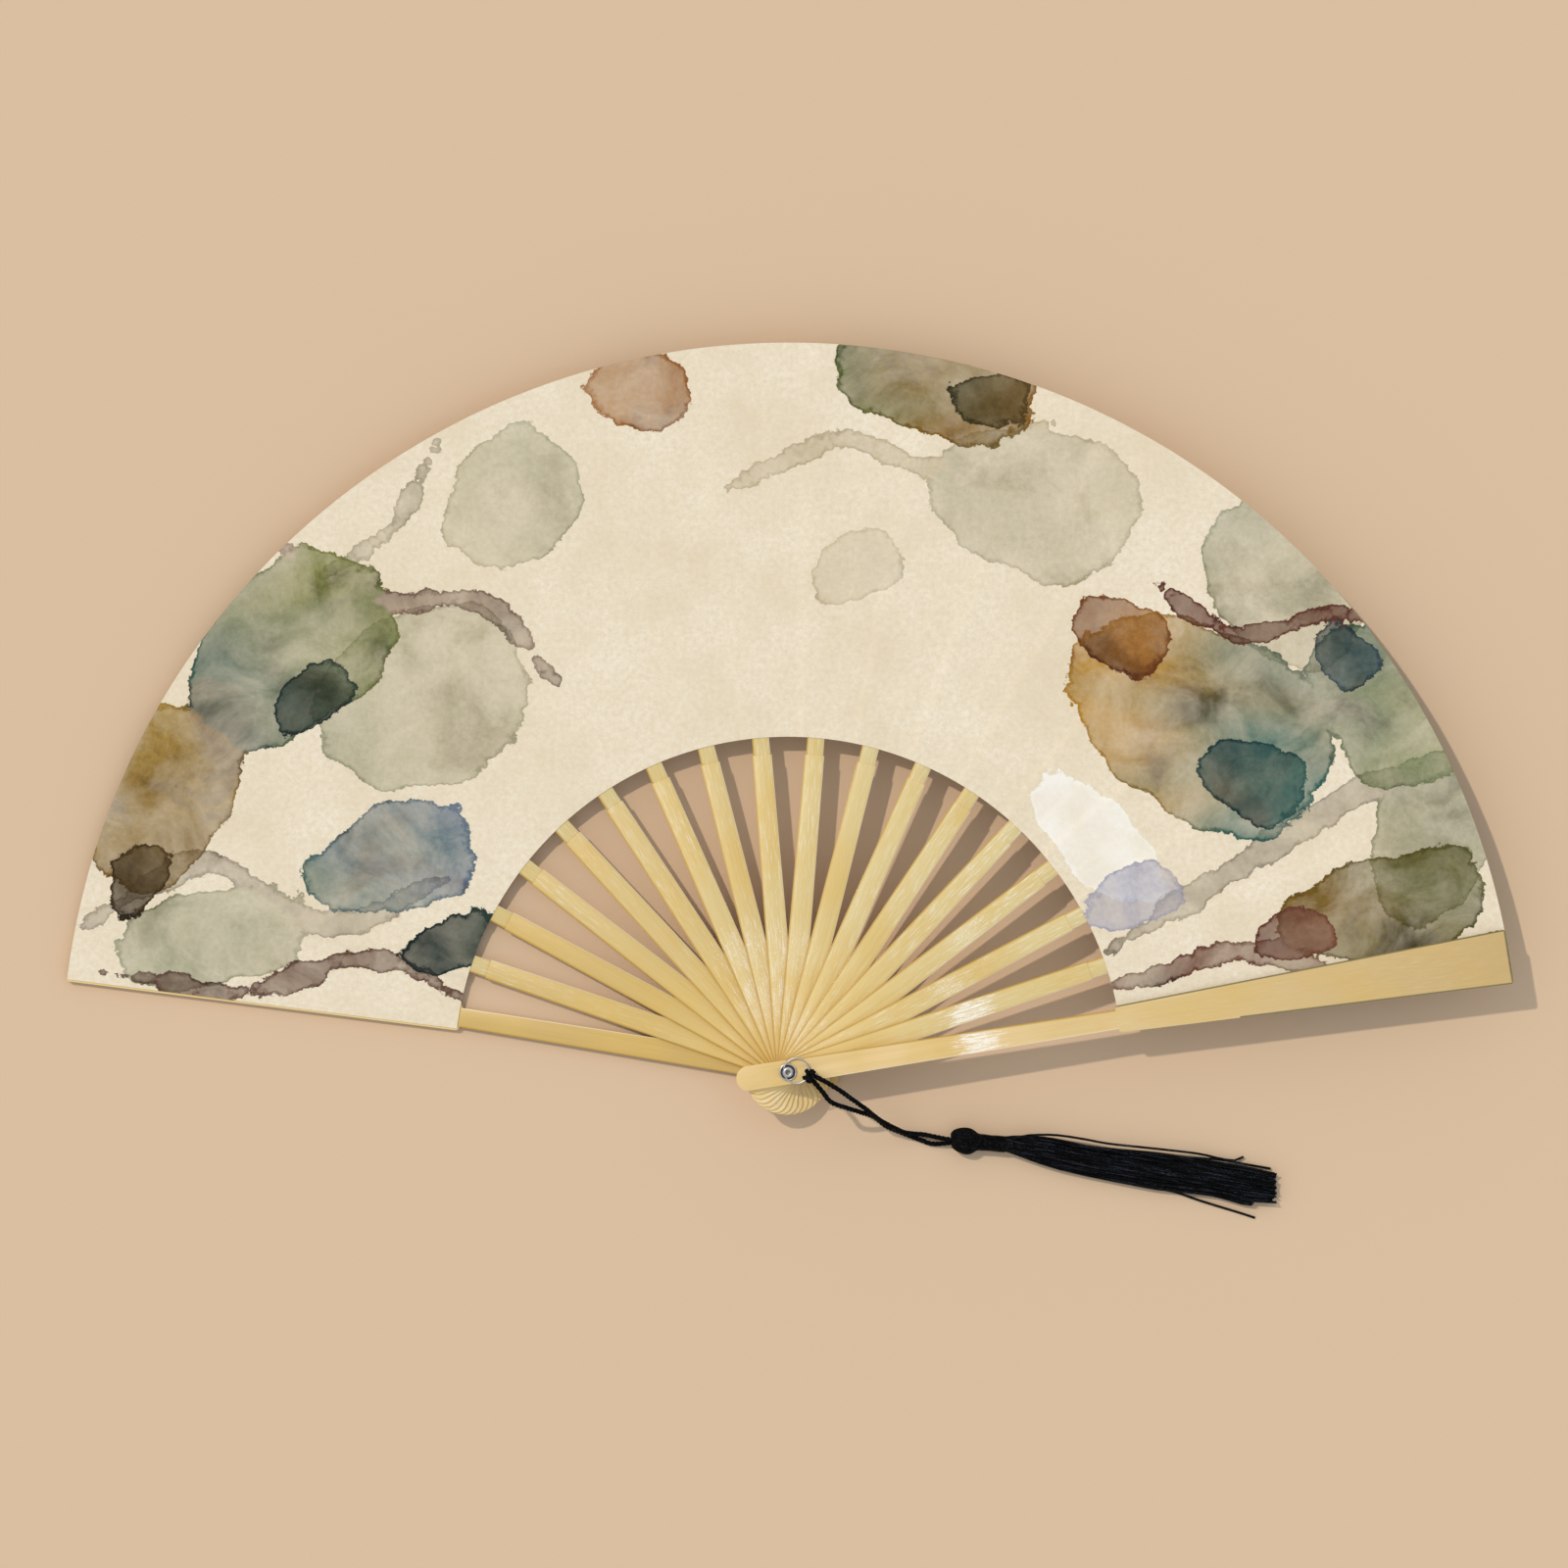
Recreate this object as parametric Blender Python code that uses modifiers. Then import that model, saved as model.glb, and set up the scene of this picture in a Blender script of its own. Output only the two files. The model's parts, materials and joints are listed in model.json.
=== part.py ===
"""A folding hand fan, open and lying flat: eighteen bamboo sticks on one rivet carry a pleated
cloth leaf, and a corded tassel hangs from a wire ring at the rivet.

Units are metres, +Z is up. The rivet stands on the Z axis and its rear head rests at z = 0.
Every stick lies in a level of its own, so the whole fan folds by turning sticks about Z.
"""
import math

import bmesh
import bpy
from mathutils import Matrix, Vector

MM = 0.001

# The open spread, seen from above and counted from +X
REAR_ANGLE = math.radians(170.8)
FRONT_ANGLE = math.radians(9.1)
RIB_COUNT = 16
PITCH = (REAR_ANGLE - FRONT_ANGLE) / (RIB_COUNT + 1)
LEAF_INNER = 101.0 * MM
LEAF_OUTER = 220.0 * MM

# Guards: the two end sticks, narrow to a step at the leaf's inner edge and then a wide blade
GUARD_REACH = LEAF_OUTER
GUARD_TAIL = 15.7 * MM
GUARD_HEAD_WIDTH = 7.5 * MM
GUARD_NECK_WIDTH = 5.8 * MM
GUARD_STEP = LEAF_INNER - 0.7 * MM
RELIEF_START = LEAF_INNER - 0.25 * MM
GUARD_BLADE_WIDTH = 8.1 * MM
GUARD_TIP_WIDTH = 16.5 * MM
GUARD_TIP_CORNER = 0.6 * MM
GUARD_THICK = 2.0 * MM
GUARD_EDGE = 0.35 * MM

# Ribs: the inner sticks, a body with a thin slip beyond it
RIB_TAIL = 13.2 * MM
RIB_HEAD_WIDTH = 7.3 * MM
RIB_NECK_WIDTH = 5.9 * MM
RIB_STEP = LEAF_INNER - 5.2 * MM
RIB_THICK = 0.70 * MM
RIB_EDGE = 0.14 * MM
SLIP_ROOT = 5.0 * MM
SLIP_ROOT_WIDTH = 5.3 * MM
SLIP_TIP_WIDTH = 3.6 * MM
SLIP_THICK = 0.32 * MM
SLIP_LIFT = 0.10 * MM
SLIP_END_MARGIN = 4.0 * MM

# Leaf: one cloth, in one panel for each stick, which is the facet on the stick and the fold after it
LEAF_THICK = 0.16 * MM
GLUE_GAP = 0.12 * MM
PLEAT_RISE = 0.10 * MM
BARE_GUARD_LINE = 0.4 * MM

# Rivet, cups and ring
SHANK_RADIUS = 0.65 * MM
PIVOT_CLEARANCE = 0.25 * MM
SEAT_GAP = 0.12 * MM
REAR_HEAD_RADIUS = 1.5 * MM
REAR_HEAD_THICK = 0.6 * MM
FRONT_HEAD_RADIUS = 1.55 * MM
FRONT_HEAD_THICK = 0.7 * MM
HEAD_DIMPLE_RADIUS = 0.75 * MM
HEAD_DIMPLE_DEPTH = 0.25 * MM
HEAD_EDGE = 0.2 * MM
CUP_RADIUS = 2.6 * MM
CUP_FLOOR_RADIUS = 1.7 * MM
CUP_RISE = 0.45 * MM
CUP_SHEET = 0.2 * MM
RING_RADIUS = 3.8 * MM
RING_WIRE_RADIUS = 0.25 * MM
RING_PLAY = 0.3 * MM
RING_TILT = math.radians(5.0)
RING_DIRECTION = math.radians(10.0)

# Cord and its knot on the ring
CORD_RADIUS = 0.65 * MM
CORD_POINT_SPACING = 2.4 * MM
KNOT_DIRECTION = math.radians(-27.0)
KNOT_BORE_PLAY = 0.1 * MM
KNOT_LOOP_RADIUS = 0.55 * MM
KNOT_LOOP_SPREAD = 0.75 * MM
KNOT_LUMP = (1.75 * MM, 1.95 * MM, 1.0 * MM)
KNOT_LUMP_OFFSET = 0.75 * MM

# The two strands' routes in millimetres, from the ring's knot to the tassel's knot
UPPER_STRAND = (
    (8.7, -1.5, 22.1), (11.6, -3.0, 22.0), (14.2, -4.6, 21.9), (16.2, -5.9, 21.3), (19.8, -8.6, 18.9),
    (23.7, -11.5, 14.9), (27.8, -14.8, 10.9), (33.4, -17.9, 6.2), (36.1, -18.9, 4.4), (41.4, -19.5, 2.3),
    (46.5, -20.4, 2.9), (49.3, -20.6, 3.7),
)
LOWER_STRAND = (
    (7.7, -2.75, 22.1), (10.4, -5.9, 22.0), (13.0, -9.0, 21.6), (17.5, -10.8, 18.7), (22.1, -12.4, 14.0),
    (26.0, -13.9, 9.8), (29.9, -16.9, 6.4), (34.5, -18.9, 2.9), (39.1, -20.7, 1.2), (43.5, -22.2, 1.1),
    (47.3, -22.3, 2.3), (49.3, -22.0, 3.2),
)

# Tassel, along its own axis from the centre of its knot
TASSEL_PLACE = (53.8 * MM, -21.3 * MM)
TASSEL_DIRECTION = math.radians(-5.0)
TASSEL_KNOT_RADII = (4.25 * MM, 4.0 * MM, 3.95 * MM)
TASSEL_FLOOR_GAP = 0.05 * MM
NECK_START = 4.6 * MM
NECK_LENGTH = 7.6 * MM
NECK_CORE_RADIUS = 1.85 * MM
BINDING_WIRE_RADIUS = 0.2 * MM
BINDING_GAP = 0.32 * MM
BINDING_TURNS = 8
SKIRT_LENGTH = 81.0 * MM
SKIRT_START_RADIUS = 2.45 * MM
SKIRT_HALF_WIDTH = 6.0 * MM
SKIRT_HALF_HEIGHT = 2.7 * MM
SKIRT_SPREAD_LENGTH = 11.0 * MM
SKIRT_BEND = math.radians(-8.0)
SKIRT_FLUTES = 12
SKIRT_FLUTE_DEPTH = 0.07

# Levels and places that follow from the sizes above
LAYER_GAP = 0.25 * MM
LAYER = RIB_THICK + LAYER_GAP
HOLE_RADIUS = SHANK_RADIUS + PIVOT_CLEARANCE
LEAF_LIFT = SLIP_LIFT + SLIP_THICK + GLUE_GAP
GUARD_RELIEF = LEAF_THICK + GLUE_GAP + 0.02 * MM
CUP_HEIGHT = CUP_RISE + CUP_SHEET
REAR_GUARD_Z = REAR_HEAD_THICK + SEAT_GAP + CUP_SHEET + SEAT_GAP
FIRST_RIB_Z = REAR_GUARD_Z + GUARD_THICK + LAYER_GAP
FRONT_GUARD_Z = FIRST_RIB_Z + RIB_COUNT * LAYER
FAN_TOP_Z = FRONT_GUARD_Z + GUARD_THICK
FRONT_CUP_Z = FAN_TOP_Z + SEAT_GAP
RING_Z = FRONT_CUP_Z + CUP_HEIGHT + SEAT_GAP + RING_WIRE_RADIUS
RING_OFFSET = RING_RADIUS - RING_WIRE_RADIUS - RING_PLAY - SHANK_RADIUS
RING_RISE_UNDER_HEAD = FRONT_HEAD_RADIUS * math.tan(RING_TILT)
FRONT_HEAD_Z = RING_Z + RING_WIRE_RADIUS + RING_RISE_UNDER_HEAD + SEAT_GAP

ROUND_STEPS = 24
SHARP_ANGLE = math.radians(35.0)


def clear_scene():
    for item in list(bpy.data.objects):
        bpy.data.objects.remove(item, do_unlink=True)


def new_collection(name):
    group = bpy.data.collections.new(name)
    bpy.context.scene.collection.children.link(group)
    return group


def linear(channel):
    value = channel / 255.0
    return value / 12.92 if value <= 0.04045 else ((value + 0.055) / 1.055) ** 2.4


def new_material(name, red, green, blue, roughness, metallic=0.0):
    """A plain surface from an ordinary 0 to 255 colour."""
    surface = bpy.data.materials.new(name)
    surface.use_nodes = True
    shader = surface.node_tree.nodes["Principled BSDF"]
    shader.inputs["Base Color"].default_value = (linear(red), linear(green), linear(blue), 1.0)
    shader.inputs["Roughness"].default_value = roughness
    shader.inputs["Metallic"].default_value = metallic
    return surface


def weld(mesh):
    """Close the seams of a mesh and turn its faces outward."""
    work = bmesh.new()
    work.from_mesh(mesh)
    bmesh.ops.remove_doubles(work, verts=work.verts, dist=1e-7)
    bmesh.ops.recalc_face_normals(work, faces=work.faces)
    work.to_mesh(mesh)
    work.free()


def freeze(item):
    """The evaluated shape of an object as a mesh of its own; the object goes."""
    bpy.context.view_layer.update()
    graph = bpy.context.evaluated_depsgraph_get()
    mesh = bpy.data.meshes.new_from_object(item.evaluated_get(graph))
    mesh.transform(item.matrix_world)
    bpy.data.objects.remove(item, do_unlink=True)
    weld(mesh)
    return mesh


def loose_object(name, data):
    item = bpy.data.objects.new(name, data)
    bpy.context.scene.collection.objects.link(item)
    return item


def add_node(parts, name, data, surface, parent=None):
    """Put a finished shape into the fan under its name."""
    data.materials.clear()
    data.materials.append(surface)
    item = bpy.data.objects.new(name, data)
    parts.objects.link(item)
    item.parent = parent
    if isinstance(data, bpy.types.Mesh):
        data.shade_smooth()
        data.set_sharp_from_angle(angle=SHARP_ANGLE)
    return item


def add_empty(parts, name, height=0.0, turn=0.0):
    """An axis mark on the rivet's line that carries what turns there."""
    item = bpy.data.objects.new(name, None)
    item.empty_display_size = 5.0 * MM
    item.location.z = height
    item.rotation_euler.z = turn
    parts.objects.link(item)
    return item


def arc(centre, radius, start, end, steps):
    """Points of a round stretch; angles in degrees."""
    points = []
    for step in range(steps + 1):
        angle = math.radians(start + (end - start) * step / steps)
        points.append((centre[0] + radius * math.cos(angle), centre[1] + radius * math.sin(angle)))
    return points


def plate(outline, thick, base=0.0):
    """A flat plate: a closed 2D outline raised to its thickness, as a mesh."""
    curve = bpy.data.curves.new("outline", "CURVE")
    curve.dimensions = "2D"
    curve.fill_mode = "BOTH"
    curve.extrude = thick / 2
    spline = curve.splines.new("POLY")
    spline.points.add(len(outline) - 1)
    for point, (x, y) in zip(spline.points, outline):
        point.co = (x, y, 0.0, 1.0)
    spline.use_cyclic_u = True
    item = loose_object("outline", curve)
    item.location.z = base + thick / 2
    return freeze(item)


def cylinder(radius, low, high, steps=ROUND_STEPS):
    mesh = bpy.data.meshes.new("cylinder")
    work = bmesh.new()
    bmesh.ops.create_cone(
        work, cap_ends=True, segments=steps, radius1=radius, radius2=radius, depth=high - low,
        matrix=Matrix.Translation((0.0, 0.0, (low + high) / 2)),
    )
    work.to_mesh(mesh)
    work.free()
    return mesh


def block(low, high):
    """A box between two opposite corners."""
    mesh = bpy.data.meshes.new("block")
    work = bmesh.new()
    size = Vector(high) - Vector(low)
    middle = (Vector(high) + Vector(low)) / 2
    bmesh.ops.create_cube(work, size=1.0, matrix=Matrix.Translation(middle) @ Matrix.Diagonal(size.to_4d()))
    work.to_mesh(mesh)
    work.free()
    return mesh


def combine(mesh, other, operation):
    """Cut one mesh from another, or join the two."""
    item = loose_object("shape", mesh)
    tool = loose_object("tool", other)
    boolean = item.modifiers.new("boolean", "BOOLEAN")
    boolean.operation = operation
    boolean.solver = "EXACT"
    boolean.object = tool
    result = freeze(item)
    bpy.data.objects.remove(tool, do_unlink=True)
    return result


def soften(mesh, width, segments=1):
    """Round the sharp edges of a plate."""
    item = loose_object("shape", mesh)
    bevel = item.modifiers.new("bevel", "BEVEL")
    bevel.width = width
    bevel.segments = segments
    bevel.limit_method = "ANGLE"
    bevel.angle_limit = math.radians(50.0)
    return freeze(item)


def turned(profile, steps=ROUND_STEPS, sheet=0.0):
    """A round piece from its outer side, top to bottom; with a sheet thickness, a thin dish."""
    mesh = bpy.data.meshes.new("profile")
    points = [(radius, 0.0, height) for radius, height in profile]
    edges = [(index, index + 1) for index in range(len(points) - 1)]
    mesh.from_pydata(points, edges, [])
    item = loose_object("profile", mesh)
    screw = item.modifiers.new("turn", "SCREW")
    screw.steps = steps
    screw.render_steps = steps
    screw.use_merge_vertices = True
    screw.merge_threshold = 1e-6
    if sheet:
        solidify = item.modifiers.new("sheet", "SOLIDIFY")
        solidify.thickness = sheet
        solidify.offset = -1.0
    return freeze(item)


def tube(name, points, radius, resolution=2):
    """A round wire or cord along its points, closed at both ends."""
    curve = bpy.data.curves.new(name, "CURVE")
    curve.dimensions = "3D"
    curve.bevel_depth = radius
    curve.bevel_resolution = resolution
    curve.use_fill_caps = True
    spline = curve.splines.new("POLY")
    spline.points.add(len(points) - 1)
    for point, place in zip(spline.points, points):
        point.co = (*place, 1.0)
    return curve


def smooth_route(route, spacing):
    """Points at even steps on a smooth curve through the route's own points."""
    knots = [Vector(point) * MM for point in route]
    ends = [2 * knots[0] - knots[1]] + knots + [2 * knots[-1] - knots[-2]]
    fine = []
    for before, start, end, after in zip(ends, ends[1:], ends[2:], ends[3:]):
        for step in range(12):
            t = step / 12
            bend = (2 * before - 5 * start + 4 * end - after) * t ** 2
            curl = (3 * start - before - 3 * end + after) * t ** 3
            fine.append(start + ((end - before) * t + bend + curl) / 2)
    fine.append(knots[-1])
    lengths = [0.0]
    for start, end in zip(fine, fine[1:]):
        lengths.append(lengths[-1] + (end - start).length)
    count = max(2, round(lengths[-1] / spacing))
    points = []
    for index in range(count + 1):
        reach = lengths[-1] * index / count
        place = max(1, next(i for i, length in enumerate(lengths) if length >= reach - 1e-9))
        part = (reach - lengths[place - 1]) / (lengths[place] - lengths[place - 1])
        points.append(fine[place - 1].lerp(fine[place], part))
    return points


def guard_mesh():
    """End stick from its rounded tail to its square tip, relieved on top where the leaf lies."""
    head = GUARD_HEAD_WIDTH / 2
    neck = GUARD_NECK_WIDTH / 2
    blade = GUARD_BLADE_WIDTH / 2
    tip = GUARD_TIP_WIDTH / 2
    shoulder = blade - neck
    corner = GUARD_TIP_CORNER
    side = arc((GUARD_STEP + shoulder, neck), shoulder, 180, 90, 4)
    side += arc((GUARD_REACH - corner, tip - corner), corner, 90, 0, 3)
    tail = arc((head - GUARD_TAIL, 0.0), head, 90, 270, 10)
    outline = tail + [(x, -y) for x, y in side] + side[::-1]
    mesh = plate(outline, GUARD_THICK)
    relief_low = (RELIEF_START, -tip * 2, GUARD_THICK - GUARD_RELIEF)
    relief_high = (GUARD_REACH * 2, tip * 2, GUARD_THICK * 2)
    mesh = combine(mesh, block(relief_low, relief_high), "DIFFERENCE")
    mesh = combine(mesh, cylinder(HOLE_RADIUS, -GUARD_THICK, GUARD_THICK * 2, 16), "DIFFERENCE")
    return soften(mesh, GUARD_EDGE)


def rib_mesh():
    """Inner stick: a round-tailed body that ends in a step, and the thin slip that runs on."""
    head = RIB_HEAD_WIDTH / 2
    neck = RIB_NECK_WIDTH / 2
    tail = arc((head - RIB_TAIL, 0.0), head, 90, 270, 8)
    mesh = plate(tail + [(RIB_STEP, -neck), (RIB_STEP, neck)], RIB_THICK)
    mesh = combine(mesh, cylinder(HOLE_RADIUS, -RIB_THICK, RIB_THICK * 2, 12), "DIFFERENCE")
    mesh = soften(mesh, RIB_EDGE)
    root = SLIP_ROOT_WIDTH / 2
    tip = SLIP_TIP_WIDTH / 2
    slip_tip = arc((LEAF_OUTER - SLIP_END_MARGIN - tip, 0.0), tip, -90, 90, 4)
    start = RIB_STEP - SLIP_ROOT
    slip = plate([(start, root), (start, -root)] + slip_tip, SLIP_THICK, SLIP_LIFT)
    return combine(mesh, slip, "UNION")


def leaf_mesh(first, last, fold, base, rise):
    """A leaf panel from angle first to angle last, flat, and then folding on to angle fold."""
    angles = [(first, base), ((first + last) / 2, base), (last, base)]
    if fold is not None:
        angles += [((last + fold) / 2, base + rise / 2), (fold, base + rise)]
    mesh = bpy.data.meshes.new("leaf")
    work = bmesh.new()
    rows = []
    for angle, height in angles:
        ray = Vector((math.cos(angle), math.sin(angle), 0.0))
        lift = Vector((0.0, 0.0, height))
        rows.append([work.verts.new(ray * radius + lift) for radius in (LEAF_INNER, LEAF_OUTER)])
    for (inner, outer), (next_inner, next_outer) in zip(rows, rows[1:]):
        work.faces.new((inner, next_inner, next_outer, outer))
    work.normal_update()
    if work.faces[:][0].normal.z < 0:
        bmesh.ops.reverse_faces(work, faces=work.faces)
    work.to_mesh(mesh)
    work.free()
    item = loose_object("leaf", mesh)
    solidify = item.modifiers.new("cloth", "SOLIDIFY")
    solidify.thickness = LEAF_THICK
    solidify.offset = 1.0
    return freeze(item)


def rivet_mesh():
    """Thin pin through all the sticks, with a flat rear head and a dimpled front head."""
    front_top = FRONT_HEAD_Z + FRONT_HEAD_THICK
    dimple = HEAD_DIMPLE_RADIUS
    profile = [
        (0.0, front_top - HEAD_DIMPLE_DEPTH),
        (dimple - HEAD_DIMPLE_DEPTH, front_top - HEAD_DIMPLE_DEPTH),
        (dimple, front_top),
        (FRONT_HEAD_RADIUS - HEAD_EDGE, front_top),
        (FRONT_HEAD_RADIUS, front_top - HEAD_EDGE),
        (FRONT_HEAD_RADIUS, FRONT_HEAD_Z),
        (SHANK_RADIUS, FRONT_HEAD_Z),
        (SHANK_RADIUS, REAR_HEAD_THICK),
        (REAR_HEAD_RADIUS, REAR_HEAD_THICK),
        (REAR_HEAD_RADIUS, HEAD_EDGE),
        (REAR_HEAD_RADIUS - HEAD_EDGE, 0.0),
        (0.0, 0.0),
    ]
    return turned(profile)


def cup_mesh():
    """Dished washer, flat on its stick and flared up to its rim."""
    flare = CUP_RADIUS - CUP_FLOOR_RADIUS
    profile = [
        (CUP_RADIUS, CUP_RISE),
        (CUP_FLOOR_RADIUS + 0.75 * flare, 0.55 * CUP_RISE),
        (CUP_FLOOR_RADIUS + 0.35 * flare, 0.15 * CUP_RISE),
        (CUP_FLOOR_RADIUS, 0.0),
        (SHANK_RADIUS + PIVOT_CLEARANCE, 0.0),
    ]
    return turned(profile, sheet=CUP_SHEET)


def torus(major, minor, major_steps, minor_steps, matrix):
    bpy.ops.mesh.primitive_torus_add(
        major_radius=major, minor_radius=minor, major_segments=major_steps, minor_segments=minor_steps,
    )
    item = bpy.context.object
    item.matrix_world = matrix
    return freeze(item)


def ball(radii, matrix, across=16, along=10):
    mesh = bpy.data.meshes.new("ball")
    work = bmesh.new()
    stretch = Matrix.Diagonal((*radii, 1.0))
    bmesh.ops.create_uvsphere(work, u_segments=across, v_segments=along, radius=1.0, matrix=matrix @ stretch)
    work.to_mesh(mesh)
    work.free()
    return mesh


def ring_matrix():
    """The wire ring's own frame: round the pin, a little raised on the side of its knot."""
    turn = Matrix.Rotation(RING_DIRECTION, 4, "Z")
    tilt = Matrix.Rotation(-RING_TILT, 4, "Y")
    return Matrix.Translation((0.0, 0.0, RING_Z)) @ turn @ tilt @ Matrix.Translation((RING_OFFSET, 0.0, 0.0))


def ring_mesh():
    return torus(RING_RADIUS, RING_WIRE_RADIUS, 36, 8, ring_matrix())


def knot_mesh():
    """Two loops of the cord round the ring's wire, drawn into one lump on its outer side."""
    place = ring_matrix() @ Matrix.Rotation(KNOT_DIRECTION, 4, "Z") @ Matrix.Translation((RING_RADIUS, 0.0, 0.0))
    loop = RING_WIRE_RADIUS + KNOT_BORE_PLAY + KNOT_LOOP_RADIUS
    mesh = ball(KNOT_LUMP, place @ Matrix.Translation((KNOT_LUMP_OFFSET, 0.0, 0.0)))
    for side in (-1.0, 1.0):
        across = Matrix.Translation((0.0, side * KNOT_LOOP_SPREAD, 0.0)) @ Matrix.Rotation(math.pi / 2, 4, "X")
        mesh = combine(mesh, torus(loop, KNOT_LOOP_RADIUS, 16, 8, place @ across), "UNION")
    bore = RING_WIRE_RADIUS + KNOT_BORE_PLAY
    return combine(mesh, torus(RING_RADIUS, bore, 36, 8, ring_matrix()), "DIFFERENCE")


def tassel_matrix():
    height = TASSEL_KNOT_RADII[2] + TASSEL_FLOOR_GAP
    return Matrix.Translation((*TASSEL_PLACE, height)) @ Matrix.Rotation(TASSEL_DIRECTION, 4, "Z")


def binding_points():
    """One unbroken helix round the tassel's neck."""
    radius = NECK_CORE_RADIUS + BINDING_GAP + BINDING_WIRE_RADIUS
    margin = 2 * BINDING_WIRE_RADIUS
    span = NECK_LENGTH - 2 * margin
    count = BINDING_TURNS * ROUND_STEPS
    points = []
    for index in range(count + 1):
        angle = math.tau * index / ROUND_STEPS
        along = NECK_START + margin + span * index / count
        points.append(tassel_matrix() @ Vector((along, radius * math.cos(angle), radius * math.sin(angle))))
    return points


def least_gap(points, radius, skip):
    """Smallest clear distance between stretches of a wound wire that are not neighbours."""
    gap = math.inf
    for index, point in enumerate(points):
        for other in points[index + skip:]:
            gap = min(gap, (other - point).length - 2 * radius)
    return gap


def skirt_mesh():
    """Core of the neck and the bundle of threads, which spreads and settles on the surface."""
    knot_height = TASSEL_KNOT_RADII[2] + TASSEL_FLOOR_GAP
    neck_end = NECK_START + NECK_LENGTH
    stations = [(NECK_START, 0.0, 0.0, NECK_CORE_RADIUS, NECK_CORE_RADIUS, 0.0)]
    stations.append((neck_end, 0.0, 0.0, NECK_CORE_RADIUS, NECK_CORE_RADIUS, 0.0))
    x, y = neck_end + BINDING_WIRE_RADIUS, 0.0
    steps = 12
    for step in range(steps + 1):
        part = step / steps
        spread = 1.0 - math.exp(-part * SKIRT_LENGTH / SKIRT_SPREAD_LENGTH)
        width = SKIRT_START_RADIUS + (SKIRT_HALF_WIDTH - SKIRT_START_RADIUS) * spread
        height = SKIRT_START_RADIUS + (SKIRT_HALF_HEIGHT - SKIRT_START_RADIUS) * spread
        drop = (SKIRT_HALF_HEIGHT + TASSEL_FLOOR_GAP - knot_height) * spread
        stations.append((x, y, drop, width, height, SKIRT_FLUTE_DEPTH))
        turn = SKIRT_BEND * math.sqrt(part)
        x += SKIRT_LENGTH / steps * math.cos(turn)
        y += SKIRT_LENGTH / steps * math.sin(turn)
    return loft(stations, 2 * SKIRT_FLUTES, tassel_matrix())


def loft(stations, sides, matrix):
    """A closed body through fluted oval sections, each square to the tassel's axis."""
    mesh = bpy.data.meshes.new("loft")
    work = bmesh.new()
    rings = []
    for x, y, z, width, height, flute in stations:
        ring = []
        for side in range(sides):
            angle = math.tau * side / sides
            swell = 1.0 - flute * (side % 2)
            across = y + width * swell * math.cos(angle)
            up = z + height * swell * math.sin(angle)
            ring.append(work.verts.new(matrix @ Vector((x, across, up))))
        rings.append(ring)
    for ring, following in zip(rings, rings[1:]):
        for side in range(sides):
            after = (side + 1) % sides
            work.faces.new((ring[side], ring[after], following[after], following[side]))
    work.faces.new(rings[0])
    work.faces.new(rings[-1])
    bmesh.ops.recalc_face_normals(work, faces=work.faces)
    work.to_mesh(mesh)
    work.free()
    return mesh


def add_sticks(parts, surfaces):
    """Both guards and the ribs, each with its part of the leaf, one above the other."""
    guard = guard_mesh()
    rib = rib_mesh()
    quarter = PITCH / 4
    edge = math.atan2(GUARD_TIP_WIDTH / 2, GUARD_REACH) - BARE_GUARD_LINE / GUARD_REACH
    rear_leaf_z = GUARD_THICK - GUARD_RELIEF + GLUE_GAP
    front_leaf_z = GUARD_RELIEF - GLUE_GAP - LEAF_THICK
    rear_leaf = leaf_mesh(edge, -quarter, -3 * quarter, rear_leaf_z, PLEAT_RISE)
    rib_leaf = leaf_mesh(quarter, -quarter, -3 * quarter, LEAF_LIFT, PLEAT_RISE)
    front_leaf = leaf_mesh(quarter, -edge, None, front_leaf_z, 0.0)

    axis = add_empty(parts, "rear_guard_axis", REAR_GUARD_Z, REAR_ANGLE)
    add_node(parts, "rear_guard", guard, surfaces["guard"], axis)
    add_node(parts, "leaf_panel_00", rear_leaf, surfaces["leaf"], axis)
    for index in range(1, RIB_COUNT + 1):
        height = FIRST_RIB_Z + (index - 1) * LAYER
        axis = add_empty(parts, f"rib_{index:02d}_axis", height, REAR_ANGLE - index * PITCH)
        add_node(parts, f"rib_{index:02d}", rib, surfaces["rib"], axis)
        add_node(parts, f"leaf_panel_{index:02d}", rib_leaf, surfaces["leaf"], axis)
    axis = add_empty(parts, "front_guard_axis", FRONT_GUARD_Z, FRONT_ANGLE)
    front = add_node(parts, "front_guard", guard, surfaces["guard"], axis)
    front.rotation_euler.x = math.pi
    front.location.z = GUARD_THICK
    add_node(parts, f"leaf_panel_{RIB_COUNT + 1:02d}", front_leaf, surfaces["leaf"], axis)


def add_rivet(parts, surfaces):
    """The pin that holds the stack, and a dished washer under each of its heads."""
    add_node(parts, "rivet", rivet_mesh(), surfaces["metal"])
    cup = cup_mesh()
    front = add_node(parts, "front_cup", cup, surfaces["metal"])
    front.location.z = FRONT_CUP_Z
    rear = add_node(parts, "rear_cup", cup, surfaces["metal"])
    rear.rotation_euler.x = math.pi
    rear.location.z = REAR_GUARD_Z - SEAT_GAP


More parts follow.
